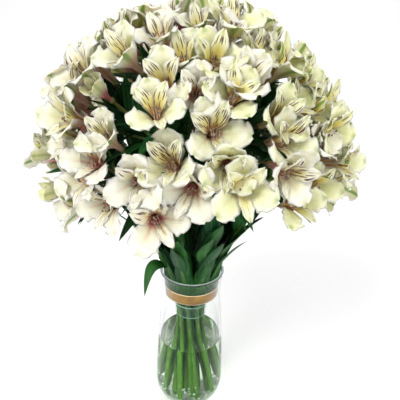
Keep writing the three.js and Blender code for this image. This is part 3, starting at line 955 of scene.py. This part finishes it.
# ---- Glass, water, ribbon and tape ----
def wall_points():
    """The vase's outside from its belly up, as (radius, height)."""
    line = Line([Vector((radius, 0, height)) for radius, height in WALL_LINE])
    return [(point.x, point.z) for point in (line.point(step / WALL_STEPS) for step in range(WALL_STEPS + 1))]


def corner_arc(floor_radius, floor_height, wall_radius, wall_height, steps):
    """A rounded corner from a floor up to a wall, without its last point."""
    return [
        (
            floor_radius + (wall_radius - floor_radius) * math.sin(step / steps * TURN / 4),
            wall_height - (wall_height - floor_height) * math.cos(step / steps * TURN / 4),
        )
        for step in range(steps)
    ]


def inner_line(look, inset):
    """The inside of the vase from the middle of its floor up, moved inwards by an inset."""
    wall = [(radius - look.wall - inset, height) for radius, height in wall_points() if height > INNER_BELLY_HEIGHT]
    floor = look.base + inset
    return [(0, floor), *corner_arc(INNER_FLOOR_RADIUS, floor, *wall[0], INNER_HEEL_STEPS), *wall]


class VaseLook(bpy.types.PropertyGroup):
    """Sizes and colours of the vase, the ribbon and the bubbles"""

    wall: FloatProperty(
        name="Wall", description="Thickness of the glass, in millimetres",
        default=3, min=1, max=6)
    base: FloatProperty(
        name="Base", description="Thickness of the glass under the water, in millimetres",
        default=7, min=3, max=20)
    smudge: FloatProperty(
        name="Smudge", description="Roughness where the glass has been handled",
        default=0.03, min=0, max=0.2)
    ribbon_colour: FloatVectorProperty(
        name="Ribbon", description="Colour of the ribbon's satin",
        subtype="COLOR", default=paint(180, 134, 28)[:3])
    bubbles: IntProperty(
        name="Bubbles", description="How many air bubbles cling low on the glass",
        default=70, min=0, max=400)


class BunchLook(bpy.types.PropertyGroup):
    """Sizes, colours and leaf counts of the plants"""

    stem_radius: FloatProperty(
        name="Stem Foot", description="Radius of a stem at its cut foot, in millimetres",
        default=3.4, min=2, max=5)
    stem_tip: FloatProperty(
        name="Stem Top", description="Radius of a stem below its flower head, in millimetres",
        default=2.4, min=1, max=4)
    stem_colour: FloatVectorProperty(
        name="Stem", description="Main green of the stems",
        subtype="COLOR", default=paint(34, 84, 16)[:3])
    leaf_colour: FloatVectorProperty(
        name="Leaf", description="Main green of the leaves",
        subtype="COLOR", default=paint(14, 72, 34)[:3])
    petal_colour: FloatVectorProperty(
        name="Tepal", description="Main white of the tepals",
        subtype="COLOR", default=paint(236, 230, 212)[:3])
    ripple: FloatProperty(
        name="Leaf Ripple", description="How far the leaves' edges ripple",
        default=0.0022, min=0, max=0.01, unit="LENGTH")
    neck: IntProperty(
        name="Neck Leaves", description="Broad upright leaves of each stem at the vase's rim",
        default=6, min=0, max=8)
    # Sunken leaves: partly leaf remains, partly dark strips standing in for the shade between the stems.
    wet: IntProperty(
        name="Sunken Leaves", description="Narrow leaves left on each stem under the water",
        default=2, min=0, max=4)
    bracts: IntProperty(
        name="Bracts", description="Small leaves on each pedicel, inside the dome",
        default=3, min=0, max=4)
    filler: IntProperty(
        name="Filler Leaves", description="Extra leaves on the upper part of each stem",
        default=5, min=0, max=12)
    floret_size: FloatProperty(
        name="Floret Size", description="Size of the florets against their solids",
        default=1.08, min=0.7, max=1.3)
    openness: FloatProperty(
        name="Openness", description="How far the tepals turn out, against fully open",
        default=1.0, min=0.5, max=1.2)


class StageLook(bpy.types.PropertyGroup):
    """The camera and the strength of the lights"""

    lens: FloatProperty(
        name="Lens", description="Focal length of the camera, in millimetres",
        default=38.5, min=10, max=200)
    pitch: FloatProperty(
        name="Pitch", description="How far the camera looks down",
        default=math.radians(24.1), subtype="ANGLE")
    roll: FloatProperty(
        name="Roll", description="How far the camera is turned on its own axis",
        default=math.radians(2.0), subtype="ANGLE")
    world: FloatProperty(
        name="Room Light", description="Strength of the even light of the room",
        default=0.76, min=0, max=5)
    key: FloatProperty(
        name="Key Light", description="Power of the large soft light, in watts",
        default=24, min=0, max=500)


class BUNCH_OT_vase(bpy.types.Operator):
    """Turn the clear glass vase, with its thick base and rounded rim"""

    bl_idname = "bunch.vase"
    bl_label = "Vase"

    def execute(self, context):
        look = context.scene.vase_look
        half = look.wall / 2
        lip_radius, lip_height = WALL_LINE[-1][0] - half, VASE_HEIGHT - half
        outer = [(0, 0), *corner_arc(FOOT_RADIUS, 0, *WALL_LINE[0], HEEL_STEPS), *wall_points()]
        outer = [point for point in outer if point[1] < lip_height]
        inner = [point for point in inner_line(look, 0) if point[1] < lip_height]
        turns = [step * math.pi / LIP_STEPS for step in range(LIP_STEPS + 1)]
        lip = [(lip_radius + half * math.cos(turn), lip_height + half * math.sin(turn)) for turn in turns]
        vase = turned("vase_glass", [*outer, *lip, *reversed(inner)])
        settle(vase, "glass", "vase", coat=worn("clear_glass", glass_material, look))
        return {"FINISHED"}


class BUNCH_OT_water(bpy.types.Operator):
    """Fill the vase with still water up to its level, with a rounded edge where it meets the glass"""

    bl_idname = "bunch.water"
    bl_label = "Water"

    def execute(self, context):
        look = context.scene.vase_look
        line = [point for point in inner_line(look, -WATER_OVERLAP) if point[1] < WATER_LEVEL]
        shore = line[-1][0]
        climb = [(shore - inwards, WATER_LEVEL - sink) for inwards, sink in WATER_EDGE]
        water = turned("still_water", [*line, *climb, (0, WATER_LEVEL - WATER_SINK)])
        settle(water, "water", "water", coat=worn("still_water", water_material))
        return {"FINISHED"}


def band(name, low, high, form):
    """A band wound round the axis, its end lapped over its start, with its length and width marked on it."""
    steps = int(BAND_STEPS * form["turns"])
    points, along, across, faces = [], [], [], []
    for step in range(steps + 1):
        share = step / steps
        angle = BAND_START + share * form["turns"] * TURN
        lap = (form["thickness"] + BAND_GAP) * share
        outline = []
        for row in range(BAND_ROWS + 1):
            height = row / BAND_ROWS
            radius = form["low_radius"] + (form["high_radius"] - form["low_radius"]) * height + lap
            radius += form["wave"] * math.sin(angle * 5 + height) * math.sin(math.pi * height)
            level = low + (high - low) * height + form["wave"] * 0.8 * math.sin(angle * 2 + 1)
            outline.append((radius, level, height * 2 - 1))
        outline += [(radius - form["thickness"], level, mark) for radius, level, mark in reversed(outline)]
        for radius, level, mark in outline:
            points.append(around(radius, angle, level))
            along.append(share)
            across.append(mark)
    size = 2 * (BAND_ROWS + 1)
    for step in range(steps):
        for side in range(size):
            after = (side + 1) % size
            near, far = step * size, (step + 1) * size
            faces.append([near + side, near + after, far + after, far + side])
    faces.append(list(range(size))[::-1])
    faces.append(list(range(steps * size, (steps + 1) * size)))
    return mesh_object(name, points, (), faces, {"along": along, "across": across})


class BUNCH_OT_ribbon(bpy.types.Operator):
    """Wind the gold satin ribbon round the neck of the bunch, inside the glass"""

    bl_idname = "bunch.ribbon"
    bl_label = "Gold Ribbon"

    def execute(self, context):
        look = context.scene.vase_look
        ribbon = band("gold_band", RIBBON_LOW, RIBBON_HIGH, RIBBON)
        settle(ribbon, "ribbon", "gold_ribbon", coat=worn("gold_satin", ribbon_material, look))
        return {"FINISHED"}


class BUNCH_OT_tape(bpy.types.Operator):
    """Wind the clear tape round the stems at their waist"""

    bl_idname = "bunch.tape"
    bl_label = "Binding Tape"

    def execute(self, context):
        tape = band("clear_binding", TAPE_LOW, TAPE_HIGH, TAPE)
        settle(tape, "tape", "binding_tape", coat=worn("clear_tape", tape_material))
        return {"FINISHED"}


class BUNCH_OT_bubbles(bpy.types.Operator):
    """Spread the small air bubbles that cling inside the glass near its floor"""

    bl_idname = "bunch.bubbles"
    bl_label = "Bubbles"

    def execute(self, context):
        look = context.scene.vase_look
        low = [point for point in inner_line(look, BUBBLE_INSET) if BUBBLES_LOW < point[1] < BUBBLES_HIGH]
        rough = turned("air_bubbles", low)
        area = sum(face.area for face in rough.data.polygons)
        grown(rough, tree_named("Bubbles On Glass", bubble_tree),
              {"Density": look.bubbles / area, "Material": worn("air_bubble", bubble_material)})
        settle(rough, "water")
        return {"FINISHED"}


# ---- Stems and leaves ----
def bare_end(plant):
    """The share of a stem's line where its top joint begins."""
    return 1 - NODE_LENGTH / plant["length"]


def leaf_shares(plant, look):
    """Where leaves grow along a stem's line above the rim: its own side leaves, then the fillers."""
    own = [FIRST_SIDE_LEAF + SIDE_LEAF_STEP * index for index in range(plant["leaves"])]
    fillers = [FILLERS["first"] + FILLERS["reach"] * (index + 0.5) / look.filler for index in range(look.filler)]
    return own, fillers


class BUNCH_OT_stems(bpy.types.Operator):
    """Grow the eighteen stems along their spiralled lines, swollen a little at each leaf joint"""

    bl_idname = "bunch.stems"
    bl_label = "Stems"

    def execute(self, context):
        look = context.scene.bunch_look
        coat = worn("green_stem", stem_material, look)
        for index, plant in enumerate(PLANTS):
            own, fillers = leaf_shares(plant, look)
            joints = [*own, *fillers, *BARE_JOINTS]
            path = []
            for step in range(STEM_STEPS + 1):
                share = step / STEM_STEPS * bare_end(plant)
                radius = look.stem_radius + (look.stem_tip - look.stem_radius) * share
                near = min(abs(share - joint) for joint in joints)
                radius += JOINT_SWELL * math.exp(-((near / JOINT_REACH) ** 2))
                radius *= 1 - END_TAPER * (step in (0, STEM_STEPS))
                path.append((plant["line"].point(share), {"radius": radius * MM, "tint": scatter(index, 40)}))
            stem = stalks(f"green_stem_{index + 1:02d}", [path], STEM_SIDES, coat)
            settle(stem, "stem", f"stem_{index + 1:02d}")
        return {"FINISHED"}


def neck_room(height):
    """How far from the axis leaves may stand inside the vase, and more freely above its rim."""
    for (low_radius, low), (high_radius, high) in zip(WALL_LINE, WALL_LINE[1:]):
        if height <= high:
            return low_radius + (high_radius - low_radius) * (height - low) / (high - low) - LEAF_ROOM
    return WALL_LINE[-1][0] - LEAF_ROOM + (height - VASE_HEIGHT) * ROOM_OVER_RIM


def press_in(mesh):
    """Presses the leaves inside the vase's neck in from the glass."""
    for vertex in mesh.vertices:
        away, height = math.hypot(vertex.co.x, vertex.co.y) / MM, vertex.co.z / MM
        room = neck_room(height)
        if away > room:
            share = (room + (away - room) * PRESSED) / away
            if height > VASE_HEIGHT:
                share += (1 - share) * smooth(VASE_HEIGHT, VASE_HEIGHT + NECK_CLEARING, height)
            vertex.co.x *= share
            vertex.co.y *= share


def leaf_path(base, direction, form, seed, tint):
    """The points of one leaf: where each is, half the leaf's width there, and the way its flat side lies."""
    across = cross_axes(direction)[0]
    length = form["length"] * (0.94 + 0.14 * scatter(seed, 31))
    curl = form.get("curl", 1.1 * sway(seed, 32))
    points = []
    for step in range(LEAF_STEPS + 1):
        share = step / LEAF_STEPS
        middle = base + direction * length * share - UP * form["droop"] * length * share * share
        middle += across * (length * 0.07 * sway(seed, 33) * math.sin(share * 4))
        middle += Vector((base.x, base.y, 0)).normalized() * form.get("tuck", 0) * math.sin(math.pi * share**0.7)
        ahead = direction - UP * 2 * form["droop"] * share
        ahead.normalize()
        flat = Matrix.Rotation(curl * share, 3, ahead) @ across
        flat = (flat - ahead * flat.dot(ahead)).normalized()
        belly = math.sin(math.pi * min(share**0.72, 1)) ** 0.85
        half = form["width"] * (0.09 * (1 - share) + 0.44 * belly) + 0.12
        points.append((middle, {"radius": half * MM, "flat": flat, "tint": tint}))
    return points


def leaf_section():
    """A leaf's section across its fold: a closed outline, one unit to each side of its middle."""
    marks = [-1, -0.66, -0.33, 0, 0.33, 0.66, 1]
    fold, thick = 0.26, 0.045
    top = [(mark, fold * abs(mark) ** 1.3 - 0.05 * mark * mark) for mark in marks]
    outline = [(x, y + thick * (abs(x) < 1)) for x, y in top]
    outline += [(x, y - thick) for x, y in reversed(top) if abs(x) < 1]
    points = [Vector((x, y, 0)) / MM for x, y in outline]
    edges = [(index, (index + 1) % len(points)) for index in range(len(points))]
    section = mesh_object("leaf_section", points, edges, (), {"across": [float(point[0]) for point in outline]})
    bpy.context.scene.collection.objects.unlink(section)
    return section


class BUNCH_OT_leaves(bpy.types.Operator):
    """Grow each plant's whorl of leaves, its side leaves and the filler leaves that darken the bunch"""

    bl_idname = "bunch.leaves"
    bl_label = "Leaves"

    def execute(self, context):
        look = context.scene.bunch_look
        coat = worn("alstroemeria_leaf", leaf_material, look)
        section = leaf_section()
        for index, plant in enumerate(PLANTS):
            paths = [*self.whorl(index, plant), *self.along_stem(index, plant, look)]
            for floret in plant["florets"]:
                for leaf in range(look.bracts):
                    paths.append(self.bract(plant, floret, leaf))
            rough = path_object(f"leaves_{index + 1:02d}", paths)
            grown(rough, tree_named("Blade Along Path", blade_tree),
                  {"Section": section, "Ripple": look.ripple, "Material": coat})
            if index != RIM_LEAF_PLANT:
                press_in(rough.data)
            settle(rough, "leaf", f"leaf_whorl_{index + 1:02d}")
        discard(section)
        return {"FINISHED"}

    def whorl(self, index, plant):
        """The leaves in a ring round the top of a stem."""
        shoot = plant["line"].tangent(1)
        across, upright = cross_axes(shoot)
        middle = plant["line"].point(1 - NODE_LENGTH / 2 / plant["length"])
        for leaf in range(WHORL_LEAVES):
            angle = (leaf + scatter(index, 20)) / WHORL_LEAVES * TURN
            way = shoot * WHORL_LEAF["rise"] + across * math.cos(angle) + upright * math.sin(angle)
            seed = index * LEAF_SEEDS["plant"] + leaf
            yield leaf_path(middle, way.normalized(), WHORL_LEAF, seed, scatter(seed, 35) * 0.6)

    def along_stem(self, index, plant, look):
        """The leaves along a stem: its own, the fillers, and those in the neck, at the collar and under the water."""
        outermost = plant["rim"] > OUTER_RING_RIM
        own, fillers = leaf_shares(plant, look)

        def seed_of(sort, leaf):
            return index * LEAF_SEEDS["plant"] + LEAF_SEEDS[sort] + leaf

        for leaf, share in enumerate(own):
            over_rim = index == RIM_LEAF_PLANT and leaf == 0
            form = RIM_LEAF if over_rim else SIDE_LEAF
            turn = 0 if over_rim else SIDE_SWAY * sway(index, 10 + leaf)
            yield self.side_leaf(plant, share, form, turn, seed_of("side", leaf))
        for leaf, share in enumerate(fillers):
            turn = leaf * 2.4 + 2.6 * sway(index, 50 + leaf)
            yield self.side_leaf(plant, share, SIDE_LEAF, turn, seed_of("filler", leaf))
        first = NECK_LEAVES["outer" if outermost else "inner"]
        for leaf in range(look.neck):
            share = first + NECK_LEAVES["reach"] * (leaf + 0.5) / look.neck
            yield self.side_leaf(plant, share, NECK_LEAF, 4.4 * sway(index, 56 + leaf), seed_of("neck", leaf))
        for leaf, swing in enumerate(COLLAR_LEAVES["swings"] if outermost else ()):
            yield self.side_leaf(plant, COLLAR_LEAVES["share"], COLLAR_LEAF, 0, seed_of("collar", leaf), swing)
        # Sunken leaves: partly leaf remains, partly dark strips put where there is only shade between the stems.
        for leaf in range(look.wet):
            seed = seed_of("wet", leaf)
            share = WET_LEAVES["first"] + WET_LEAVES["step"] * leaf + WET_LEAVES["uneven"] * scatter(seed, 97)
            yield self.side_leaf(plant, share, WET_LEAF, 3 + 2 * sway(seed, 98), seed)

    def bract(self, plant, floret, leaf):
        """A leaf at the fork of a pedicel, inside the dome."""
        seed = LEAF_SEEDS["bract"] + floret["index"] * 7 + leaf
        way = floret["base"] - plant["knob"]
        reach = way.length
        way.normalize()
        across, upright = cross_axes(way)
        angle = leaf * 2.6 + TURN * scatter(seed, 57)
        start = plant["knob"] + way * reach * (0.16 + 0.4 * scatter(seed, 58))
        lean = way * BRACT["rise"] + across * math.cos(angle) + upright * math.sin(angle)
        return leaf_path(start, lean.normalized(), BRACT, seed, 0.5 * scatter(seed, 59))

    def side_leaf(self, plant, share, form, turn, seed, swing=0):
        """A leaf at a share of the stem's line, turned round its stem, or swung round the axis of the bunch."""
        point = Matrix.Rotation(swing, 3, "Z") @ plant["line"].point(share)
        spread = Matrix.Rotation(turn, 3, "Z") @ Vector((point.x, point.y, 0)).normalized()
        way = plant["line"].tangent(share) * form["rise"] + spread * form.get("spread", SIDE_SPREAD)
        return leaf_path(point, way.normalized(), form, seed, scatter(seed, 35))


# ---- Florets ----
def tepal(form, clock, seed, openness):
    """One tepal's closed thin mesh in a floret's own axes: the floret faces along Z with its top along Y."""
    turn = math.radians(clock + 9 * sway(seed, 60))
    outward = Vector((math.sin(turn), math.cos(turn), 0))
    across = Vector((math.cos(turn), -math.sin(turn), 0))
    length = form["length"] * (0.96 + 0.08 * scatter(seed, 61))
    lean = openness * (0.9 + 0.2 * scatter(seed, 62))
    rows, columns = form["rows"], form["columns"]
    radius, height = form["start"], THROAT
    centres = []
    for step in range(TEPAL_STEPS + 1):
        angle = math.radians(eased(form["angles"], step / TEPAL_STEPS) * lean)
        centres.append((radius, height, angle))
        radius += length / TEPAL_STEPS * math.sin(angle)
        height += length / TEPAL_STEPS * math.cos(angle)
    points, marks, front, back = [], [], [], []
    for row in range(rows + 1):
        share = (row / rows) ** 0.9
        radius, height, angle = centres[round(share * TEPAL_STEPS)]
        middle = outward * radius + UP * height
        inward = UP * math.sin(angle) - outward * math.cos(angle)
        half = eased(form["widths"], share)
        channel = 0.55 * (1 - smooth(0.12, 0.5, share)) + form["cup"] * smooth(0.1, 0.5, share)
        channel -= 0.34 * smooth(0.72, 1.0, share)
        waves = form["ruffle"] * smooth(0.42, 0.85, share)
        rim = 0.09 * smooth(0.45, 0.8, share)
        rows_of = [[], []]
        for column in range(columns + 1):
            mark = column / columns * 2 - 1
            edge = abs(mark)
            ripple = math.sin(share * 20 + 2.6 * mark + TURN * scatter(seed, 63)) + 0.7 * math.sin(
                share * 37 - 3 * mark + TURN * scatter(seed, 64))
            frill = 0.8 * math.sin(share * 31 + 1.9 * mark + TURN * scatter(seed, 65))
            frill += 0.6 * math.sin(share * 49 - 2.3 * mark + TURN * scatter(seed, 66))
            lift = channel * half * edge**2 + waves * (edge**2.4 * ripple * 0.62 + edge**6 * frill * 0.3)
            lift -= 0.05 * half * math.exp(-((mark / 0.2) ** 2))
            notch = 1.6 * smooth(0.9, 1.0, share) * edge
            spot = middle + across * half * mark * (1 - 0.12 * channel * edge + rim * frill * edge**4) + inward * lift
            spot += (outward * math.sin(angle) + UP * math.cos(angle)) * notch
            thick = 0.2 * (1 - 0.75 * edge**3)
            for side, sign in enumerate((1, -1)):
                if side == 1 and column in (0, columns):
                    rows_of[1].append(rows_of[0][column])
                    continue
                rows_of[side].append(len(points))
                points.append(spot + inward * thick * sign * (edge < 1))
                marks.append((share, mark))
        front.append(rows_of[0])
        back.append(rows_of[1])
    faces, backs = [], []
    for row in range(rows):
        for column in range(columns):
            for layer, behind in ((front, 0.0), (back, 1.0)):
                low, high = layer[row], layer[row + 1]
                if behind:
                    faces.append([low[column], high[column], high[column + 1], low[column + 1]])
                else:
                    faces.append([low[column], low[column + 1], high[column + 1], high[column]])
                backs.append(behind)
    for end, flip in ((0, False), (rows, True)):
        for column in range(columns):
            corners = [front[end][column], back[end][column], back[end][column + 1], front[end][column + 1]]
            corners = list(dict.fromkeys(corners))
            faces.append(corners[::-1] if flip else corners)
            backs.append(1.0)
    return points, marks, faces, backs


def tepals_shape(shape, look):
    """The six tepals of one floret as one mesh object."""
    openness = look.openness * OPENNESS[shape]
    points, along, across, kinds, faces, backs = [], [], [], [], [], []
    for place_in_whorl, (form, clock, kind) in enumerate(WHORL):
        some, marks, sides, behind = tepal(form, clock, shape * 10 + place_in_whorl, openness)
        first = len(points)
        points += some
        along += [float(mark[0]) for mark in marks]
        across += [float(mark[1]) for mark in marks]
        kinds += [float(kind)] * len(some)
        faces += [[first + corner for corner in face] for face in sides]
        backs += behind
    numbers = {"along": along, "across": across, "kind": kinds}
    shape_object = mesh_object(f"tepals_shape_{shape:02d}", points, (), faces, numbers)
    shape_object.data.attributes.new("back", "FLOAT", "FACE").data.foreach_set("value", backs)
    return shape_object


def stamens_shape(shape, coat):
    """The stamens of one floret and its style, the last thread, swept into one mesh object."""
    paths = []
    for thread in range(STAMENS + 1):
        seed = shape * 10 + thread
        style = thread == STAMENS
        angle = thread / STAMENS * TURN + 0.5 * sway(seed, 80)
        spread = 0.2 if style else 1.1
        reach = 24 if style else 24 + 6 * scatter(seed, 81)
        sag = 3 + 2.5 * scatter(seed, 82)
        path = []
        for step in range(STAMEN_STEPS + 1):
            share = step / STAMEN_STEPS
            drop = sag * smooth(0.2, 0.85, share) - 2.4 * smooth(0.8, 1.0, share)
            fan = spread * (1 + 2.2 * share)
            spot = Vector((math.sin(angle) * fan, math.cos(angle) * fan - drop, THROAT + 1 + reach * share))
            path.append((spot, {"radius": (0.42 - 0.14 * share) * MM, "kind": 0.0}))
        paths.append(path)
        if not style:
            tip = path[-1][0]
            way = (path[-1][0] - path[-2][0]).normalized()
            tilt = (way + Vector((sway(seed, 83), 0.8 + sway(seed, 84), 0))).normalized()
            paths.append([(tip + tilt * (1.2 + off), {"radius": wide * MM, "kind": 1.0}) for off, wide in ANTHER])
    return stalks(f"stamens_shape_{shape:02d}", paths, STAMEN_SIDES, coat)


def shape_collection(name, objects):
    """The shapes as a collection outside the scene, for a tree to pick from."""
    collection = bpy.data.collections.new(name)
    for shape_object in objects:
        face_out(shape_object.data)
        bpy.context.scene.collection.objects.unlink(shape_object)
        collection.objects.link(shape_object)
    return collection


def floret_points(plant, name):
    """One point for each floret of a head, with its turn, size, shape and tint."""
    points, turns, sizes, picks, tints, ripeness = [], [], [], [], [], []
    for floret in plant["florets"]:
        seed = floret["index"]
        facing = floret["facing"]
        young = scatter(seed, 96) < YOUNG * abs(facing.x)
        across, upright = cross_axes(facing)
        frame_of = Matrix((across, upright, facing)).transposed()
        roll = Matrix.Rotation(1.3 * sway(seed, 90), 3, "Z")
        points.append(floret["base"])
        turns.append(tuple((frame_of @ roll).to_quaternion()))
        sizes.append(float(floret["size"]) * (YOUNG_SIZE if young else 1))
        picks.append(HALF_OPEN if young else int(scatter(seed, 91) * HALF_OPEN))
        ripeness.append(float(young))
        # Florets on the viewer's right are creamier, and those on the left pinker.
        lean = 0.5 + floret["base"].x / 420 + 0.75 * sway(seed, 92)
        tints.append(float(min(max(lean, 0), 1)))
    numbers = {"turn": turns, "grow": sizes, "pick": picks, "tint": tints, "young": ripeness}
    return mesh_object(name, points, (), (), numbers)


def set_on_florets(name, shape_objects, size, coat):
    """Sets one of the shapes on every floret, as one piece for each plant's head."""
    shapes = shape_collection(f"{name}_shapes", shape_objects)
    for index, plant in enumerate(PLANTS):
        rough = floret_points(plant, f"{name}_{index + 1:02d}")
        grown(rough, tree_named("Florets On Points", floret_tree), {"Shapes": shapes, "Size": size, "Material": coat})
        settle(rough, "floret", f"flower_head_{index + 1:02d}")
    discard(*shapes.objects)
    bpy.data.collections.remove(shapes)


class BUNCH_OT_florets(bpy.types.Operator):
    """Set the tepals of every open floret on its plant's flower head"""

    bl_idname = "bunch.florets"
    bl_label = "Florets"

    def execute(self, context):
        look = context.scene.bunch_look
        coat = worn("alstroemeria_tepal", petal_material, look)
        shapes = [tepals_shape(shape, look) for shape in range(len(OPENNESS))]
        set_on_florets("tepals", shapes, look.floret_size, coat)
        return {"FINISHED"}


class BUNCH_OT_stamens(bpy.types.Operator):
    """Set the stamens and style inside every floret"""

    bl_idname = "bunch.stamens"
    bl_label = "Stamens"

    def execute(self, context):
        coat = worn("stamen", stamen_material)
        shapes = [stamens_shape(shape, coat) for shape in range(len(OPENNESS))]
        set_on_florets("stamens", shapes, context.scene.bunch_look.floret_size, coat)
        return {"FINISHED"}


class BUNCH_OT_pedicels(bpy.types.Operator):
    """Grow the pedicels from each head's hub, each ending in the swollen ovary under its floret"""

    bl_idname = "bunch.pedicels"
    bl_label = "Pedicels"

    def execute(self, context):
        coat = worn("pedicel", pedicel_material)
        for index, plant in enumerate(PLANTS):
            shoot, paths = plant["line"].tangent(1), []
            for floret in plant["florets"]:
                base, facing, size = floret["base"], floret["facing"], floret["size"]
                start = plant["knob"] - shoot * 3
                reach = (base - start).length
                bend = base - facing * reach * 0.4
                tint = scatter(floret["index"], 95)
                path = []
                for step in range(PEDICEL_STEPS + 1):
                    share = step / PEDICEL_STEPS
                    spot = start * (1 - share) ** 2 + bend * 2 * share * (1 - share) + base * share**2
                    path.append((spot, {"radius": (1.5 - 0.1 * share) * MM, "tint": tint}))
                for off, wide in OVARY:
                    path.append((base + facing * off * size, {"radius": wide * size * MM, "tint": tint}))
                paths.append(path)
            paths.append([(plant["knob"] + shoot * off, {"radius": wide * MM, "tint": 1.0}) for off, wide in HUB])
            pedicels = stalks(f"pedicels_{index + 1:02d}", paths, PEDICEL_SIDES, coat)
            settle(pedicels, "stem", f"flower_head_{index + 1:02d}")
        return {"FINISHED"}


# ---- Stage ----
def soft_light(name, place_at, aim, size, power):
    """A round area lamp that points at its aim."""
    data = bpy.data.lights.new(name, "AREA")
    data.shape = "DISK"
    data.size = size
    data.energy = power
    light = bpy.data.objects.new(name, data)
    light.location = place_at
    light.rotation_euler = (Vector(aim) - Vector(place_at)).to_track_quat("-Z", "Y").to_euler()
    bpy.context.scene.collection.objects.link(light)


class BUNCH_OT_stage(bpy.types.Operator):
    """Lay the pale floor that curves up behind, and set the soft lights and the camera"""

    bl_idname = "bunch.stage"
    bl_label = "Stage"

    def execute(self, context):
        look = context.scene.stage_look
        line = [(-FLOOR_REACH, 0), (CURVE_START, 0)]
        for step in range(1, CURVE_STEPS + 1):
            turn = step * TURN / 4 / CURVE_STEPS
            line.append((CURVE_START + CURVE_RADIUS * math.sin(turn), CURVE_RADIUS - CURVE_RADIUS * math.cos(turn)))
        points = [Vector((side * FLOOR_REACH, depth, height)) for depth, height in line for side in (-1, 1)]
        faces = [[2 * row, 2 * row + 1, 2 * row + 3, 2 * row + 2] for row in range(len(line) - 1)]
        floor = mesh_object("backdrop", points, (), faces)
        floor.data.materials.append(worn("pale_backdrop", backdrop_material))
        world = bpy.data.worlds.new("room")
        world.use_nodes = True
        sky = world.node_tree.nodes["Background"]
        sky.inputs["Color"].default_value = (1.0, 1.0, 1.0, 1)
        sky.inputs["Strength"].default_value = look.world
        world.cycles.sampling_method = "MANUAL"
        context.scene.world = world
        for name, lamp_place, aim, size, share in LAMPS:
            soft_light(name, lamp_place, aim, size, look.key * share)
        camera = bpy.data.objects.new("view", bpy.data.cameras.new("view"))
        camera.data.lens = look.lens
        camera.data.sensor_width = 36
        camera.data.clip_start = 0.01
        camera.matrix_world = (
            Matrix.Translation(CAMERA_PLACE)
            @ Matrix.Rotation(math.radians(90) - look.pitch, 4, "X")
            @ Matrix.Rotation(look.roll, 4, "Z")
        )
        context.scene.collection.objects.link(camera)
        context.scene.camera = camera
        context.scene.view_settings.view_transform = "Standard"
        return {"FINISHED"}


OPERATORS = [
    BUNCH_OT_stage,
    BUNCH_OT_vase,
    BUNCH_OT_water,
    BUNCH_OT_bubbles,
    BUNCH_OT_ribbon,
    BUNCH_OT_tape,
    BUNCH_OT_stems,
    BUNCH_OT_leaves,
    BUNCH_OT_florets,
    BUNCH_OT_stamens,
    BUNCH_OT_pedicels,
]


class BUNCH_PT_panel(bpy.types.Panel):
    """The pieces of the bunch and the sizes and colours that they are made from"""

    bl_idname = "BUNCH_PT_panel"
    bl_label = "Alstroemerias in a Vase"
    bl_space_type = "VIEW_3D"
    bl_region_type = "UI"
    bl_category = "Flowers"

    def draw(self, context):
        for look in (context.scene.vase_look, context.scene.bunch_look, context.scene.stage_look):
            box = self.layout.box()
            for label in look.__annotations__:
                box.prop(look, label)
        for operator in OPERATORS:
            self.layout.operator(operator.bl_idname)


CLASSES = [VaseLook, BunchLook, StageLook, *OPERATORS, BUNCH_PT_panel]


def register():
    for cls in CLASSES:
        bpy.utils.register_class(cls)
    bpy.types.Scene.vase_look = PointerProperty(type=VaseLook)
    bpy.types.Scene.bunch_look = PointerProperty(type=BunchLook)
    bpy.types.Scene.stage_look = PointerProperty(type=StageLook)


def unregister():
    del bpy.types.Scene.stage_look
    del bpy.types.Scene.bunch_look
    del bpy.types.Scene.vase_look
    for cls in reversed(CLASSES):
        bpy.utils.unregister_class(cls)


def main():
    register()
    bpy.ops.bunch.stage()
    bpy.ops.bunch.vase()
    bpy.ops.bunch.water()
    bpy.ops.bunch.bubbles()
    bpy.ops.bunch.ribbon()
    bpy.ops.bunch.tape()
    bpy.ops.bunch.stems()
    bpy.ops.bunch.leaves()
    bpy.ops.bunch.florets()
    bpy.ops.bunch.stamens()
    bpy.ops.bunch.pedicels()


if __name__ == "__main__":
    main()
